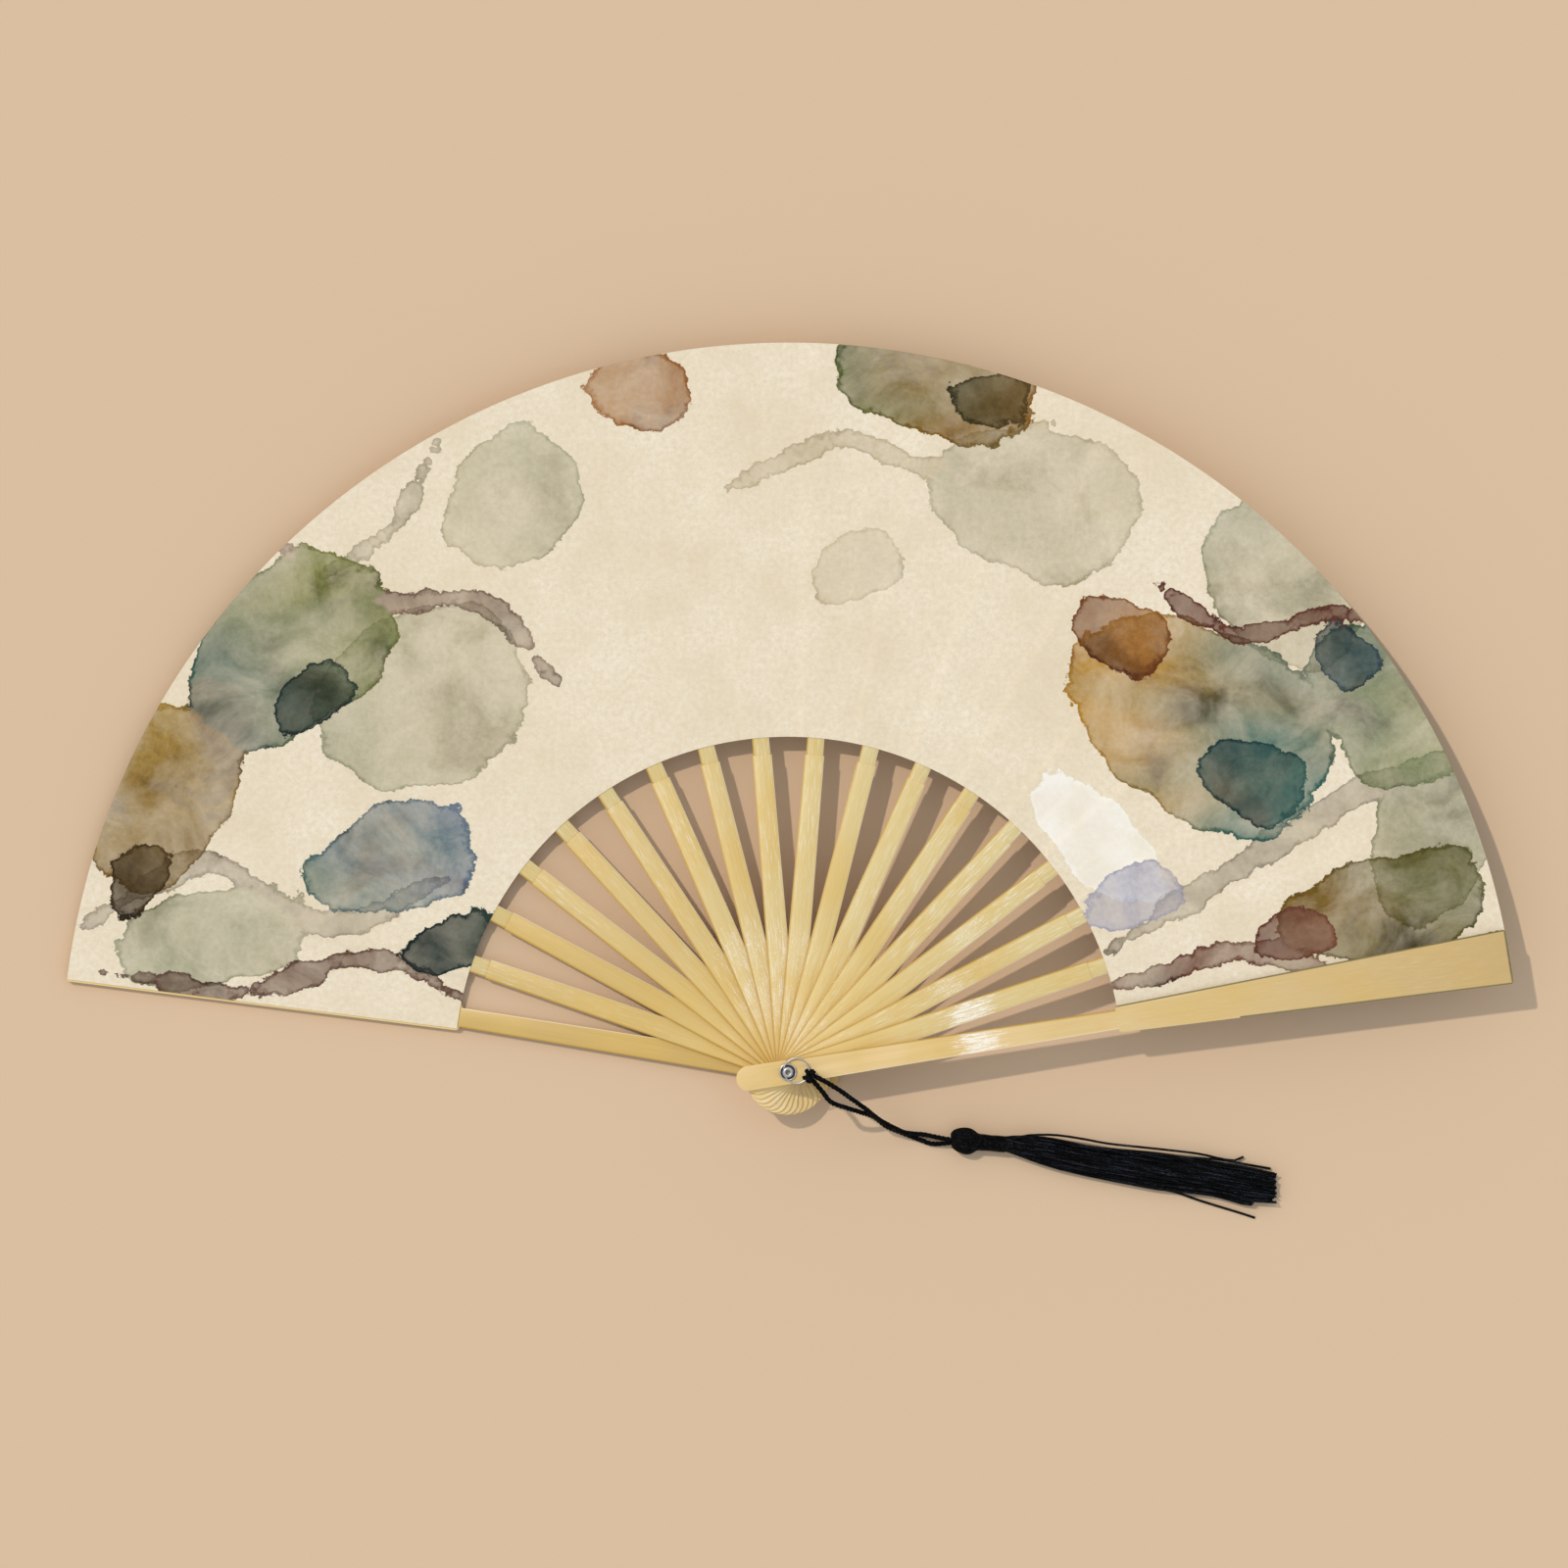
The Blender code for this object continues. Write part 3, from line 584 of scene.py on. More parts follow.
# %% Neck binding
NECK_START = 4.0 * MM
NECK_LENGTH = 8.0 * MM
NECK_RADIUS = 2.34 * MM
NECK_WAIST = 0.03  # how far the binding draws the neck in, as a share of its radius
NECK_UNEVEN = 0.04 * MM
NECK_WAVE = 11.0  # radians of unevenness from end to end
BINDING_THREAD = 0.27 * MM
BINDING_TURNS = 15
NECK_STEPS = 28
NECK_CORE = 2.28 * MM
NECK_CORE_ENDS = (1.0 * MM, 13.5 * MM)


def binding_line():
    line = []
    total = BINDING_TURNS * NECK_STEPS
    for index in range(total + 1):
        share = index / total
        angle = math.tau * index / NECK_STEPS
        waist = NECK_RADIUS * (1.0 - NECK_WAIST * math.sin(math.pi * share))
        waist += NECK_UNEVEN * math.sin(NECK_WAVE * share)
        line.append(tassel_place @ Vector((
            NECK_START + NECK_LENGTH * share, waist * math.cos(angle), waist * math.sin(angle),
        )))
    return line


bundle_line = [tassel_place @ Vector((along, 0.0, 0.0)) for along in NECK_CORE_ENDS]
bundle = tubes("bundle", [bundle_line], NECK_CORE, rings=4)
neck = join([tubes("neck", [binding_line()], BINDING_THREAD, rings=1), bundle], "neck_thread")
file_piece(neck, "neck_thread", cord_finish, "tassel", ["neck_binding"], smooth=60)

# %% [markdown]
# ## The skirt
#
# The skirt is a bundle of thin threads, bound at the neck and loose below, that spreads and settles
# on the table. A single shape with a streaky finish would have a hard edge, so every thread is its
# own thin tube. Each keeps its place in the bundle's section and wanders a little along its way.

# %% Tassel skirt
SKIRT_THREADS = 210
THREAD_RADIUS = 0.24 * MM
THREAD_STEPS = 26
THREAD_DRIFT = 0.3 * MM
THREAD_LIFT = 0.15 * MM
DRIFT_WAVE, LIFT_WAVE, WAVE_START = 7.0, 9.0, 3.0  # radians from end to end, and at most at the start
STRAY_RADIUS = 0.36 * MM
STRAY_STEP = 3.0 * MM
# Along the bundle: x, y, half width, level of the middle, half height
SKIRT_SECTIONS = np.array((
    (64.8, -22.1, 2.15, 4.0, 2.15), (67.5, -22.4, 2.8, 3.9, 2.3), (71.9, -23.2, 3.7, 3.5, 2.5),
    (77.0, -24.3, 4.5, 3.1, 2.5), (82.3, -25.5, 4.9, 2.9, 2.5), (91.2, -27.6, 4.85, 2.75, 2.5),
    (97.1, -28.5, 5.1, 2.72, 2.5), (111.9, -30.6, 5.8, 2.65, 2.4), (123.7, -32.1, 5.5, 2.6, 2.35),
    (129.6, -32.9, 5.5, 2.55, 2.3), (138.5, -34.9, 6.1, 2.5, 2.25), (147.0, -36.1, 5.3, 2.4, 2.2),
)) * MM
SKIRT_START, SKIRT_END = SKIRT_SECTIONS[0][0], SKIRT_SECTIONS[-1][0]
END_UNEVEN = 1.8 * MM
# The threads on the side nearest the viewer are cut shorter
LOW_SIDE = -0.8
LOW_THREADS_END = 140.6 * MM
LOW_END_UNEVEN = 0.6 * MM
STRAY_THREADS = (
    ((67.0, -21.2, 5.4), (71.0, -19.8, 5.6), (76.0, -19.4, 5.4), (82.3, -19.6, 5.2), (91.2, -21.0, 5.0),
     (97.1, -22.1, 4.8), (111.9, -23.7, 4.4), (123.7, -25.1, 3.6), (129.6, -26.4, 2.8), (133.5, -27.2, 2.2),
     (136.0, -27.2, 1.6), (138.0, -26.2, 1.3)),
    ((100.0, -24.2, 4.0), (112.0, -25.6, 3.6), (124.0, -26.6, 3.0), (130.2, -26.9, 2.4), (138.5, -28.4, 1.8),
     (146.2, -29.8, 1.0)),
    ((108.0, -35.2, 1.6), (114.0, -36.2, 1.4), (118.7, -37.3, 1.1), (123.7, -39.1, 0.8), (129.6, -41.0, 0.5),
     (135.6, -42.8, 0.4), (141.5, -44.7, 0.4)),
)
print(f"skirt: {SKIRT_THREADS} threads, {(SKIRT_END - SKIRT_START) / MM:.0f} mm along the bundle")

# %% Threads of the skirt
chance = random.Random(7)


def thread_line(number):
    """One thread: its place in the round section, carried through all the sections."""
    spread = math.sqrt((number + 0.5) / SKIRT_THREADS)
    angle = number * math.pi * (3 - math.sqrt(5))
    side, up = spread * math.cos(angle), spread * math.sin(angle)
    end = SKIRT_END + END_UNEVEN * chance.uniform(-1.0, 0.6)
    if side < LOW_SIDE:
        end = LOW_THREADS_END + LOW_END_UNEVEN * chance.uniform(-1.0, 1.0)
    wander = [chance.uniform(-1.0, 1.0) for _ in range(4)]
    line = []
    for step in range(THREAD_STEPS + 1):
        share = step / THREAD_STEPS
        x = SKIRT_START + (end - SKIRT_START) * share
        y, width, level, height = [
            np.interp(x, SKIRT_SECTIONS[:, 0], SKIRT_SECTIONS[:, column]) for column in range(1, 5)]
        wave = math.sin(DRIFT_WAVE * share + WAVE_START * wander[1])
        drift = THREAD_DRIFT * share * (wander[0] * wave + wander[2])
        lift = THREAD_LIFT * share * math.sin(LIFT_WAVE * share + WAVE_START * wander[3])
        line.append(Vector((
            x, y + side * (width - THREAD_RADIUS) + drift,
            max(level + up * (height - THREAD_RADIUS) + lift, THREAD_RADIUS),
        )))
    return line


threads = [thread_line(number) for number in range(SKIRT_THREADS)]
stray_lines = [smooth_route(route, STRAY_STEP) for route in STRAY_THREADS]
strays = tubes("strays", stray_lines, STRAY_RADIUS, rings=1)
skirt = join([tubes("skirt", threads, THREAD_RADIUS, rings=1), strays], "skirt")
file_piece(skirt, "skirt_threads", skirt_finish, "tassel", ["tassel_skirt"], smooth=60)

# %% [markdown]
# ## Filing the strands
#
# The two strands are filed last, because the knot, the head and the neck go with them.

# %% Cord strands
for strand, route, node in (
    (upper_strand, upper_route, "cord_upper_strand"), (lower_strand, lower_route, "cord_lower_strand"),
):
    file_piece(strand, node + "_laid", cord_finish, "tassel", [node], smooth=60)

# %% [markdown]
# ## Lacquered bamboo
#
# Split bamboo shows long straight fibres. These sticks are scraped smooth and lacquered: pale straw
# with whitish streaks of painted sheen along the fibres, a golden line along one edge, and along the
# other a pale line of painted highlight on the bevel. A pattern in the fan's own coordinates would
# run across most of the sticks. So every stick has a map of its own, along and across it in metres,
# and fibres and edges follow the stick wherever it turns.

# %% Painted highlights
# Spots of painted highlight where the lacquer would shine: x, y, reach and strength
HIGHLIGHT_SPOTS = (
    (55.0, 17.9, 10.5, 1.0), (58.0, 8.6, 9.5, 1.0), (48.0, 25.6, 9.0, 0.5), (55.0, 41.0, 11.0, 0.45),
    (-7.0, 22.0, 14.0, 0.5), (-13.0, 36.0, 13.0, 0.45), (1.0, 36.0, 13.0, 0.4), (2.5, 14.0, 9.0, 0.45),
)
# How far single fibres carry a spot of painted highlight past its edge, or stop short of it
SPOT_RAGGED = 4.0 * MM
SPOT_CORE = 0.2


def highlight_mask(tree, streak):
    """How much painted highlight each place of the sticks has, with the spots' edges broken up by the
    streaks.
    """
    where = add(tree, "TexCoord").outputs["Object"]
    flat = add(tree, "VectorMath", {0: where, 1: (1.0, 1.0, 0.0)}, operation="MULTIPLY")
    ragged = add(tree, "MapRange", {
        "Value": streak, "From Min": 0.35, "From Max": 0.65,
        "To Min": SPOT_RAGGED, "To Max": -SPOT_RAGGED,
    })
    highlight_share = None
    for x, y, reach, strength in HIGHLIGHT_SPOTS:
        centre = (x * MM, y * MM, 0.0)
        away = add(tree, "VectorMath", {0: flat, 1: centre}, operation="DISTANCE").outputs["Value"]
        away = add(tree, "Math", {0: away, 1: ragged}, operation="ADD")
        spot = add(tree, "MapRange", {
            "Value": away, "From Min": reach * MM, "From Max": reach * SPOT_CORE * MM, "To Max": strength,
        }, interpolation_type="SMOOTHSTEP")
        highlight_share = spot if highlight_share is None else add(tree, "Math", {0: highlight_share, 1: spot}, operation="MAXIMUM")
    return highlight_share


# %% Lines along the edges
EDGE_FULL = 0.4  # an edge line is at full strength over this share of its width


def edge_lines(tree, shade, parts, profile, edges):
    """The shade with lines along the edges, which follow the width that the stick has at each place."""
    along, aside = parts.outputs["X"], parts.outputs["Y"]
    halves = [add(tree, "MapRange", {
        "Value": along, "From Min": start, "From Max": end, "To Min": half_start, "To Max": half_end,
    }) for start, half_start, end, half_end in profile]
    after_step = add(tree, "Math", {0: along, 1: profile[1][0]}, operation="GREATER_THAN")
    half = add(tree, "Mix", {"Factor": after_step, "A": halves[0], "B": halves[1]}, data_type="FLOAT")
    for side, width, code, strength, start in edges:
        reach = add(tree, "Math", {0: aside, 1: side}, operation="MULTIPLY")
        inward = add(tree, "Math", {0: half, 1: reach}, operation="SUBTRACT")
        line = add(tree, "MapRange", {
            "Value": inward, "From Min": width, "From Max": width * EDGE_FULL, "To Max": strength,
        }, interpolation_type="SMOOTHSTEP")
        begun = add(tree, "Math", {0: along, 1: start}, operation="GREATER_THAN")
        line = add(tree, "Math", {0: line, 1: begun}, operation="MULTIPLY")
        shade = add(tree, "Mix", {"Factor": line, "A": shade, "B": colour(code)}, data_type="RGBA")
    return shade


# %% Base tone
AMBER = "#DBB962"
AMBER_SIZE = 30.0 * MM
FIBRE_SHADE = "#EBDFC4"


def bamboo_base(tree, place, along, tone, grain, dark, light, zones):
    """The stick's own tone, changed by zones and amber patches, with the fine fibres drawn in."""
    broad = add(tree, "TexNoise", {"Vector": place, "Scale": 1 / AMBER_SIZE, "Detail": 2.0})
    shade = add(tree, "Mix", {"Factor": tone, "A": colour(dark), "B": colour(light)}, data_type="RGBA")
    for start, end, code, strength in zones:
        beyond = add(tree, "MapRange", {
            "Value": along, "From Min": start, "From Max": end, "To Max": strength})
        shade = add(tree, "Mix", {"Factor": beyond, "A": shade, "B": colour(code)}, data_type="RGBA")
    amber = add(tree, "MapRange", {"Value": broad, "From Min": 0.42, "From Max": 0.66, "To Max": 0.55})
    shade = add(tree, "Mix", {"Factor": amber, "A": shade, "B": colour(AMBER)}, data_type="RGBA")
    fine = add(tree, "MapRange", {
        "Value": grain, "From Min": 0.35, "From Max": 0.7, "To Min": 0.5, "To Max": 0.0})
    fine = add(tree, "Math", {0: fine, 1: broad}, operation="MULTIPLY")
    return add(tree, "Mix", {
        "Factor": fine, "A": shade, "B": colour(FIBRE_SHADE)}, data_type="RGBA", blend_type="MULTIPLY")


# %% Painted sheen streaks
SHEEN_PATCH_SIZE = 50.0 * MM
SHEEN_START, SHEEN_END = 60.0 * MM, 95.0 * MM  # between these, towards the leaf, more and more shows


def painted_sheen(tree, place, along, tone, streak, streaks):
    """How much whitish painted sheen shows: in streaks and patches, and most on the lighter sticks."""
    glow = add(tree, "MapRange", {
        "Value": streak, "From Min": 0.48, "From Max": 0.7, "To Max": streaks,
    }, interpolation_type="SMOOTHSTEP")
    patch = add(tree, "TexNoise", {"Vector": place, "Scale": 1 / SHEEN_PATCH_SIZE, "Detail": 1.0})
    patch = add(tree, "MapRange", {
        "Value": patch, "From Min": 0.38, "From Max": 0.62, "To Min": 0.12})
    outer = add(tree, "MapRange", {
        "Value": along, "From Min": SHEEN_START, "From Max": SHEEN_END, "To Max": 0.4})
    patch = add(tree, "Math", {0: patch, 1: outer}, operation="ADD")
    tone_share = add(tree, "MapRange", {"Value": tone, "To Min": 0.25, "To Max": 1.0})
    glow = add(tree, "Math", {0: glow, 1: patch}, operation="MULTIPLY")
    return add(tree, "Math", {0: glow, 1: tone_share}, operation="MULTIPLY")


# %% Bamboo finish
FIBRE_WIDTH = 0.35 * MM
FIBRE_LENGTH = 30.0 * MM
FIBRE_RELIEF = 0.04 * MM
STREAK_WIDTH = 0.5 * MM
STREAK_LENGTH = 6.0 * MM
SPARKLE = 0.45 * MM
HIGHLIGHT_WHITE = "#FFFCF2"
GLINT_WHITE = "#FFFDF8"


def bamboo_finish(name, dark, light, pale, streaks, profile, edges, zones):
    """dark and light: the tones between which every stick has its own.
    pale and streaks: the colour of the painted sheen streaks, and how much of them shows.
    profile: (start, half width, end, half width) of the body and of what follows its step.
    edges: side, line width, colour, strength and where along the stick the line begins.
    zones: from where to where along the stick the colour changes, to what and how much."""
    finish, tree = new_finish(name)
    parts = add(tree, "SeparateXYZ", {"Vector": add(tree, "UVMap", uv_map="stick")})
    along = parts.outputs["X"]
    place = add(tree, "UVMap", uv_map="fibres")
    tone = add(tree, "Attribute", attribute_name="tone").outputs["Fac"]

    def fibres(length, width, **extra):
        """Noise drawn out along the stick."""
        stretched = add(
            tree, "VectorMath", {0: place, 1: (1 / length, 1 / width, 0.0)}, operation="MULTIPLY")
        return add(tree, "TexNoise", {"Vector": stretched, "Scale": 1.0, **extra})

    grain = fibres(FIBRE_LENGTH, FIBRE_WIDTH, Detail=4.0, Roughness=0.6)
    streak = fibres(STREAK_LENGTH, STREAK_WIDTH, Detail=5.0, Roughness=0.7)
    sparkle = fibres(SPARKLE * 2, SPARKLE, Detail=1.0)
    shade = bamboo_base(tree, place, along, tone, grain, dark, light, zones)
    # Whitish streaks of painted sheen along the fibres
    glow = painted_sheen(tree, place, along, tone, streak, streaks)
    shade = add(tree, "Mix", {"Factor": glow, "A": shade, "B": colour(pale)}, data_type="RGBA")

    # Painted highlight: white spots on the lacquer, with glints in them, laid into the colour
    highlight_share = highlight_mask(tree, streak)
    highlight_streaks = add(tree, "MapRange", {
        "Value": streak, "From Min": 0.36, "From Max": 0.6, "To Min": 0.15})
    highlight_dose = add(tree, "Math", {0: highlight_share, 1: highlight_share}, operation="MULTIPLY")
    highlight_dose = add(tree, "Math", {0: highlight_dose, 1: highlight_streaks}, operation="MULTIPLY")
    shade = add(tree, "Mix", {"Factor": highlight_dose, "A": shade, "B": colour(HIGHLIGHT_WHITE)}, data_type="RGBA")
    glints = add(tree, "MapRange", {"Value": sparkle, "From Min": 0.6, "From Max": 0.68})
    glints = add(tree, "Math", {0: highlight_share, 1: glints}, operation="MULTIPLY")
    shade = add(tree, "Mix", {"Factor": glints, "A": shade, "B": colour(GLINT_WHITE)}, data_type="RGBA")

    shade = edge_lines(tree, shade, parts, profile, edges)
    gloss = add(tree, "MapRange", {"Value": grain, "To Min": 0.26, "To Max": 0.44})
    relief = add(tree, "Bump", {"Strength": 0.35, "Distance": FIBRE_RELIEF, "Height": grain})
    shader = add(tree, "BsdfPrincipled", {
        "Base Color": shade, "Roughness": gloss, "Normal": relief, "Coat Weight": 0.4,
        "Coat Roughness": 0.12, "IOR": 1.5,
    })
    add(tree, "OutputMaterial", {"Surface": shader})
    return finish


# %% Finishes of ribs and guards
GUARD_WIDTHS = (7.5 * MM, 5.8 * MM, 8.1 * MM, 16.5 * MM)
GUARD_STEP = 100.3 * MM
RELIEF_START = 100.75 * MM
GUARD_REACH = 220.0 * MM
RIB_WIDTHS = (7.3 * MM, 5.9 * MM, 5.3 * MM, 3.6 * MM)
RIB_STEP = 95.8 * MM
SLIP_REACH = 216.0 * MM
# The two edges of a stick: one with a golden line, the other with a pale line of painted highlight on its
# bevel
GOLD_LINE_SIDE, PALE_LINE_SIDE = 1.0, -1.0

# The tails are painted paler: partly their own paler tone, partly painted light where the front guard's
# shadow falls on them
TAIL_TONE_AND_LIGHT = (-2.5 * MM, -5.0 * MM, "#F8DC9F", 0.8)
# Painted shade: a dark line along the front guard's blade edges and at its tip, where the edge lies in shade
PAINTED_EDGE_SHADE = "#635D3C"
# Rib edges: a golden line on one side; on the other a fainter golden line and a pale line of painted
# highlight
rib_finish = bamboo_finish(
    "lacquered_bamboo_rib", "#CFB067", "#DFCA8E", "#F1EAD6", 0.8,
    ((0.0, RIB_WIDTHS[0] / 2, RIB_STEP, RIB_WIDTHS[1] / 2),
     (RIB_STEP, RIB_WIDTHS[2] / 2, SLIP_REACH, RIB_WIDTHS[3] / 2)),
    ((GOLD_LINE_SIDE, 0.7 * MM, "#C0962A", 0.9, 0.0), (PALE_LINE_SIDE, 0.6 * MM, "#CCA748", 0.5, 0.0),
     (PALE_LINE_SIDE, 0.3 * MM, "#D2CDBC", 0.8, 0.0)),
    ((50.0 * MM, 20.0 * MM, "#E8C97C", 0.65), (RIB_STEP, RIB_STEP + 0.8 * MM, "#D6C890", 0.6), TAIL_TONE_AND_LIGHT),
)
GUARD_PROFILE = (
    (0.0, GUARD_WIDTHS[0] / 2, GUARD_STEP, GUARD_WIDTHS[1] / 2),
    (GUARD_STEP, GUARD_WIDTHS[2] / 2, GUARD_REACH, GUARD_WIDTHS[3] / 2),
)
# Guard edges: a golden line on one side, and a pale line of painted highlight on the other side's bevel
GUARD_EDGES = ((GOLD_LINE_SIDE, 0.6 * MM, "#C0962A", 0.95, 0.0), (PALE_LINE_SIDE, 0.4 * MM, "#EADFC0", 0.6, 0.0))
LOWER_LINE_START = 137.0 * MM
front_guard_finish = bamboo_finish(
    "lacquered_bamboo_front_guard", "#CFAD61", "#EBCE95", "#EADBB2", 0.2, GUARD_PROFILE,
    GUARD_EDGES + (
        (PALE_LINE_SIDE, 0.6 * MM, "#D9BE80", 0.95, GUARD_STEP),
        (GOLD_LINE_SIDE, 0.6 * MM, PAINTED_EDGE_SHADE, 0.9, GUARD_STEP),
        (PALE_LINE_SIDE, 0.6 * MM, PAINTED_EDGE_SHADE, 0.9, LOWER_LINE_START)),
    ((60.0 * MM, 85.0 * MM, "#D4BB84", 0.5), (GUARD_STEP, GUARD_REACH, "#C8AA70", 0.85),
     (GUARD_REACH - 0.8 * MM, GUARD_REACH - 0.4 * MM, PAINTED_EDGE_SHADE, 0.9)),
)
# From the step on, the rear guard's bare edge beyond the leaf has a light line: painted light against the
# shade on its bevel
rear_guard_finish = bamboo_finish(
    "lacquered_bamboo_rear_guard", "#CCAC63", "#E5C785", "#EADBB2", 0.2, GUARD_PROFILE,
    GUARD_EDGES + ((GOLD_LINE_SIDE, 0.8 * MM, "#E9CE8A", 0.95, GUARD_STEP),), (),
)
print("bamboo finishes:", rib_finish.name, front_guard_finish.name, rear_guard_finish.name)

# %% [markdown]
# ## The sticks
#
# A stick is a thin bar that tapers from its round tail, so it starts as a block whose far end is
# drawn in, its tail corners rounded right over, and a hole drilled for the rivet. It is modelled once
# along X and copied for each place, each copy with its own mesh and its own stretch of fibre.

# %% A tapered bar and its map
HOLE_RADIUS = 0.9 * MM
HOLE_STEPS = 32
UPRIGHT_REACH = 1.2 * MM  # an upright edge reaches no further than this from its middle
FULL_ROUND = 0.999  # of half the width, so that the two corners' bevels just don't meet
CORNER_SHARE = 0.2  # a corner's edge lies further from the middle line than this share of its rounding
EDGE_ANGLE = math.radians(50)


def tapered_bar(start, end, start_width, end_width, base, thick):
    bpy.ops.object.select_all(action="DESELECT")
    bpy.ops.mesh.primitive_cube_add(
        size=1, location=((start + end) / 2, 0, base + thick / 2), scale=(end - start, start_width, thick))
    bar = bpy.context.object
    settle(bar)
    pick(bar, "VERT", lambda middle, spread: middle.x > (start + end) / 2)
    bpy.ops.transform.resize(value=(1, end_width / start_width, 1), center_override=(end, 0, base))
    leave_edit()
    return bar


def round_corners(bar, near, width, steps):
    """Round the upright edges at one end of a bar."""
    def upright(middle, spread):
        at_end = abs(middle.x - near) < WELD
        return at_end and abs(middle.y) > width * CORNER_SHARE and spread < UPRIGHT_REACH

    pick(bar, "EDGE", upright)
    bpy.ops.mesh.bevel(offset=width, segments=steps, affect="EDGES", clamp_overlap=True)
    bpy.ops.mesh.select_all(action="SELECT")
    bpy.ops.mesh.remove_doubles(threshold=WELD)
    leave_edit()


def drill(bar, thick):
    bpy.ops.object.select_all(action="DESELECT")
    bpy.ops.mesh.primitive_cylinder_add(vertices=HOLE_STEPS, radius=HOLE_RADIUS, depth=thick * 4)
    bit = bpy.context.object
    modify(bar, "BOOLEAN", operation="DIFFERENCE", solver="EXACT", object=bit)
    bpy.data.objects.remove(bit)


def map_stick(stick):
    """Two maps, both along and across the stick in metres: its widths read one, its fibres the other."""
    while stick.data.uv_layers:
        stick.data.uv_layers.remove(stick.data.uv_layers[0])
    for name in ("stick", "fibres"):
        layer = stick.data.uv_layers.new(name=name)
        for loop in stick.data.loops:
            layer.data[loop.index].uv = stick.data.vertices[loop.vertex_index].co.xy


# %% One rib
RIB_THICK = 0.70 * MM
RIB_TAIL = 13.2 * MM
SLIP_THICK = 0.32 * MM
SLIP_LIFT = 0.10 * MM
SLIP_ROOT = 5.0 * MM
RIB_EDGE = 0.25 * MM
SLIP_EDGE = 0.08 * MM

rib = tapered_bar(-RIB_TAIL, RIB_STEP, RIB_WIDTHS[0], RIB_WIDTHS[1], 0.0, RIB_THICK)
round_corners(rib, -RIB_TAIL, RIB_WIDTHS[0] / 2 * FULL_ROUND, 10)
drill(rib, RIB_THICK)
modify(rib, "BEVEL", width=RIB_EDGE, segments=3, limit_method="ANGLE", angle_limit=EDGE_ANGLE)
slip = tapered_bar(RIB_STEP - SLIP_ROOT, SLIP_REACH, RIB_WIDTHS[2], RIB_WIDTHS[3], SLIP_LIFT, SLIP_THICK)
modify(slip, "BEVEL", width=SLIP_EDGE, segments=2, limit_method="ANGLE", angle_limit=EDGE_ANGLE)
modify(rib, "BOOLEAN", operation="UNION", solver="EXACT", object=slip)
bpy.data.objects.remove(slip)
map_stick(rib)
print(f"one rib: {len(rib.data.polygons)} faces, {RIB_STEP / MM:.0f} mm of body")

# %% One guard
GUARD_THICK = 2.0 * MM
GUARD_TAIL = 15.7 * MM
GUARD_RELIEF = 0.30 * MM
GUARD_EDGE = 0.4 * MM
SHOULDER_ROUND = 1.15 * MM
TIP_ROUND = 0.8 * MM

guard = tapered_bar(-GUARD_TAIL, RELIEF_START, GUARD_WIDTHS[0], GUARD_WIDTHS[1], 0.0, GUARD_THICK)
round_corners(guard, -GUARD_TAIL, GUARD_WIDTHS[0] / 2 * FULL_ROUND, 12)
drill(guard, GUARD_THICK)
blade = tapered_bar(
    GUARD_STEP, GUARD_REACH, GUARD_WIDTHS[2], GUARD_WIDTHS[3], 0.0, GUARD_THICK - GUARD_RELIEF)
round_corners(blade, GUARD_STEP, SHOULDER_ROUND, 5)
round_corners(blade, GUARD_REACH, TIP_ROUND, 4)
modify(guard, "BOOLEAN", operation="UNION", solver="EXACT", object=blade)
bpy.data.objects.remove(blade)
modify(guard, "BEVEL", width=GUARD_EDGE, segments=3, limit_method="ANGLE", angle_limit=EDGE_ANGLE)
map_stick(guard)
print(f"one guard: {len(guard.data.polygons)} faces")

# %% Sticks in their places
TONE_SPREAD = 10.0  # the sticks on the rear side are the browner ones, up to about the tenth
TONE_UNEVEN = 0.12
FIBRE_SHIFT = (0.31, 0.017)  # metres along and across, from one stick to the next


def shift_fibres(stick, number):
    """Move the fibres on, so that no two sticks match."""
    for loop in stick.data.uv_layers["fibres"].data:
        loop.uv += Vector((FIBRE_SHIFT[0] * number, FIBRE_SHIFT[1] * number))


def place_stick(pattern, number, name, node, angle, finish, body, turned=False):
    """A copy of the pattern at its angle and its node's level, turned face down for the front guard."""
    stick = pattern.copy()
    stick.data = pattern.data.copy()
    bpy.context.scene.collection.objects.link(stick)
    shift_fibres(stick, number)
    uneven = TONE_UNEVEN * math.sin(number * UNEVEN_TURN)
    tone = min(1.0, max(0.0, number / TONE_SPREAD + uneven))
    values = stick.data.attributes.new("tone", "FLOAT", "POINT")
    values.data.foreach_set("value", [tone] * len(stick.data.vertices))
    over = Matrix()
    if turned:
        over = Matrix.Translation((0, 0, GUARD_THICK)) @ Matrix.Rotation(math.pi, 4, "X")
        for loop in stick.data.uv_layers["stick"].data:
            loop.uv.y = -loop.uv.y
    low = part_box(node)[0]
    stick.data.transform(Matrix.Translation((0, 0, low.z)) @ Matrix.Rotation(angle, 4, "Z") @ over)
    file_piece(stick, name, finish, body, [node], smooth=30)


for number, node in enumerate(RIB_NAMES, start=1):
    place_stick(
        rib, number, f"bamboo_{node}", node, REAR_ANGLE - number * PITCH, rib_finish, node)
place_stick(
    guard, 0, "bamboo_rear_guard", "rear_guard", REAR_ANGLE, rear_guard_finish, "rear_guard")
place_stick(
    guard, RIB_COUNT + 1, "bamboo_front_guard", "front_guard", FRONT_ANGLE, front_guard_finish,
    "front_guard", turned=True,
)
for pattern in (rib, guard):
    bpy.data.objects.remove(pattern)

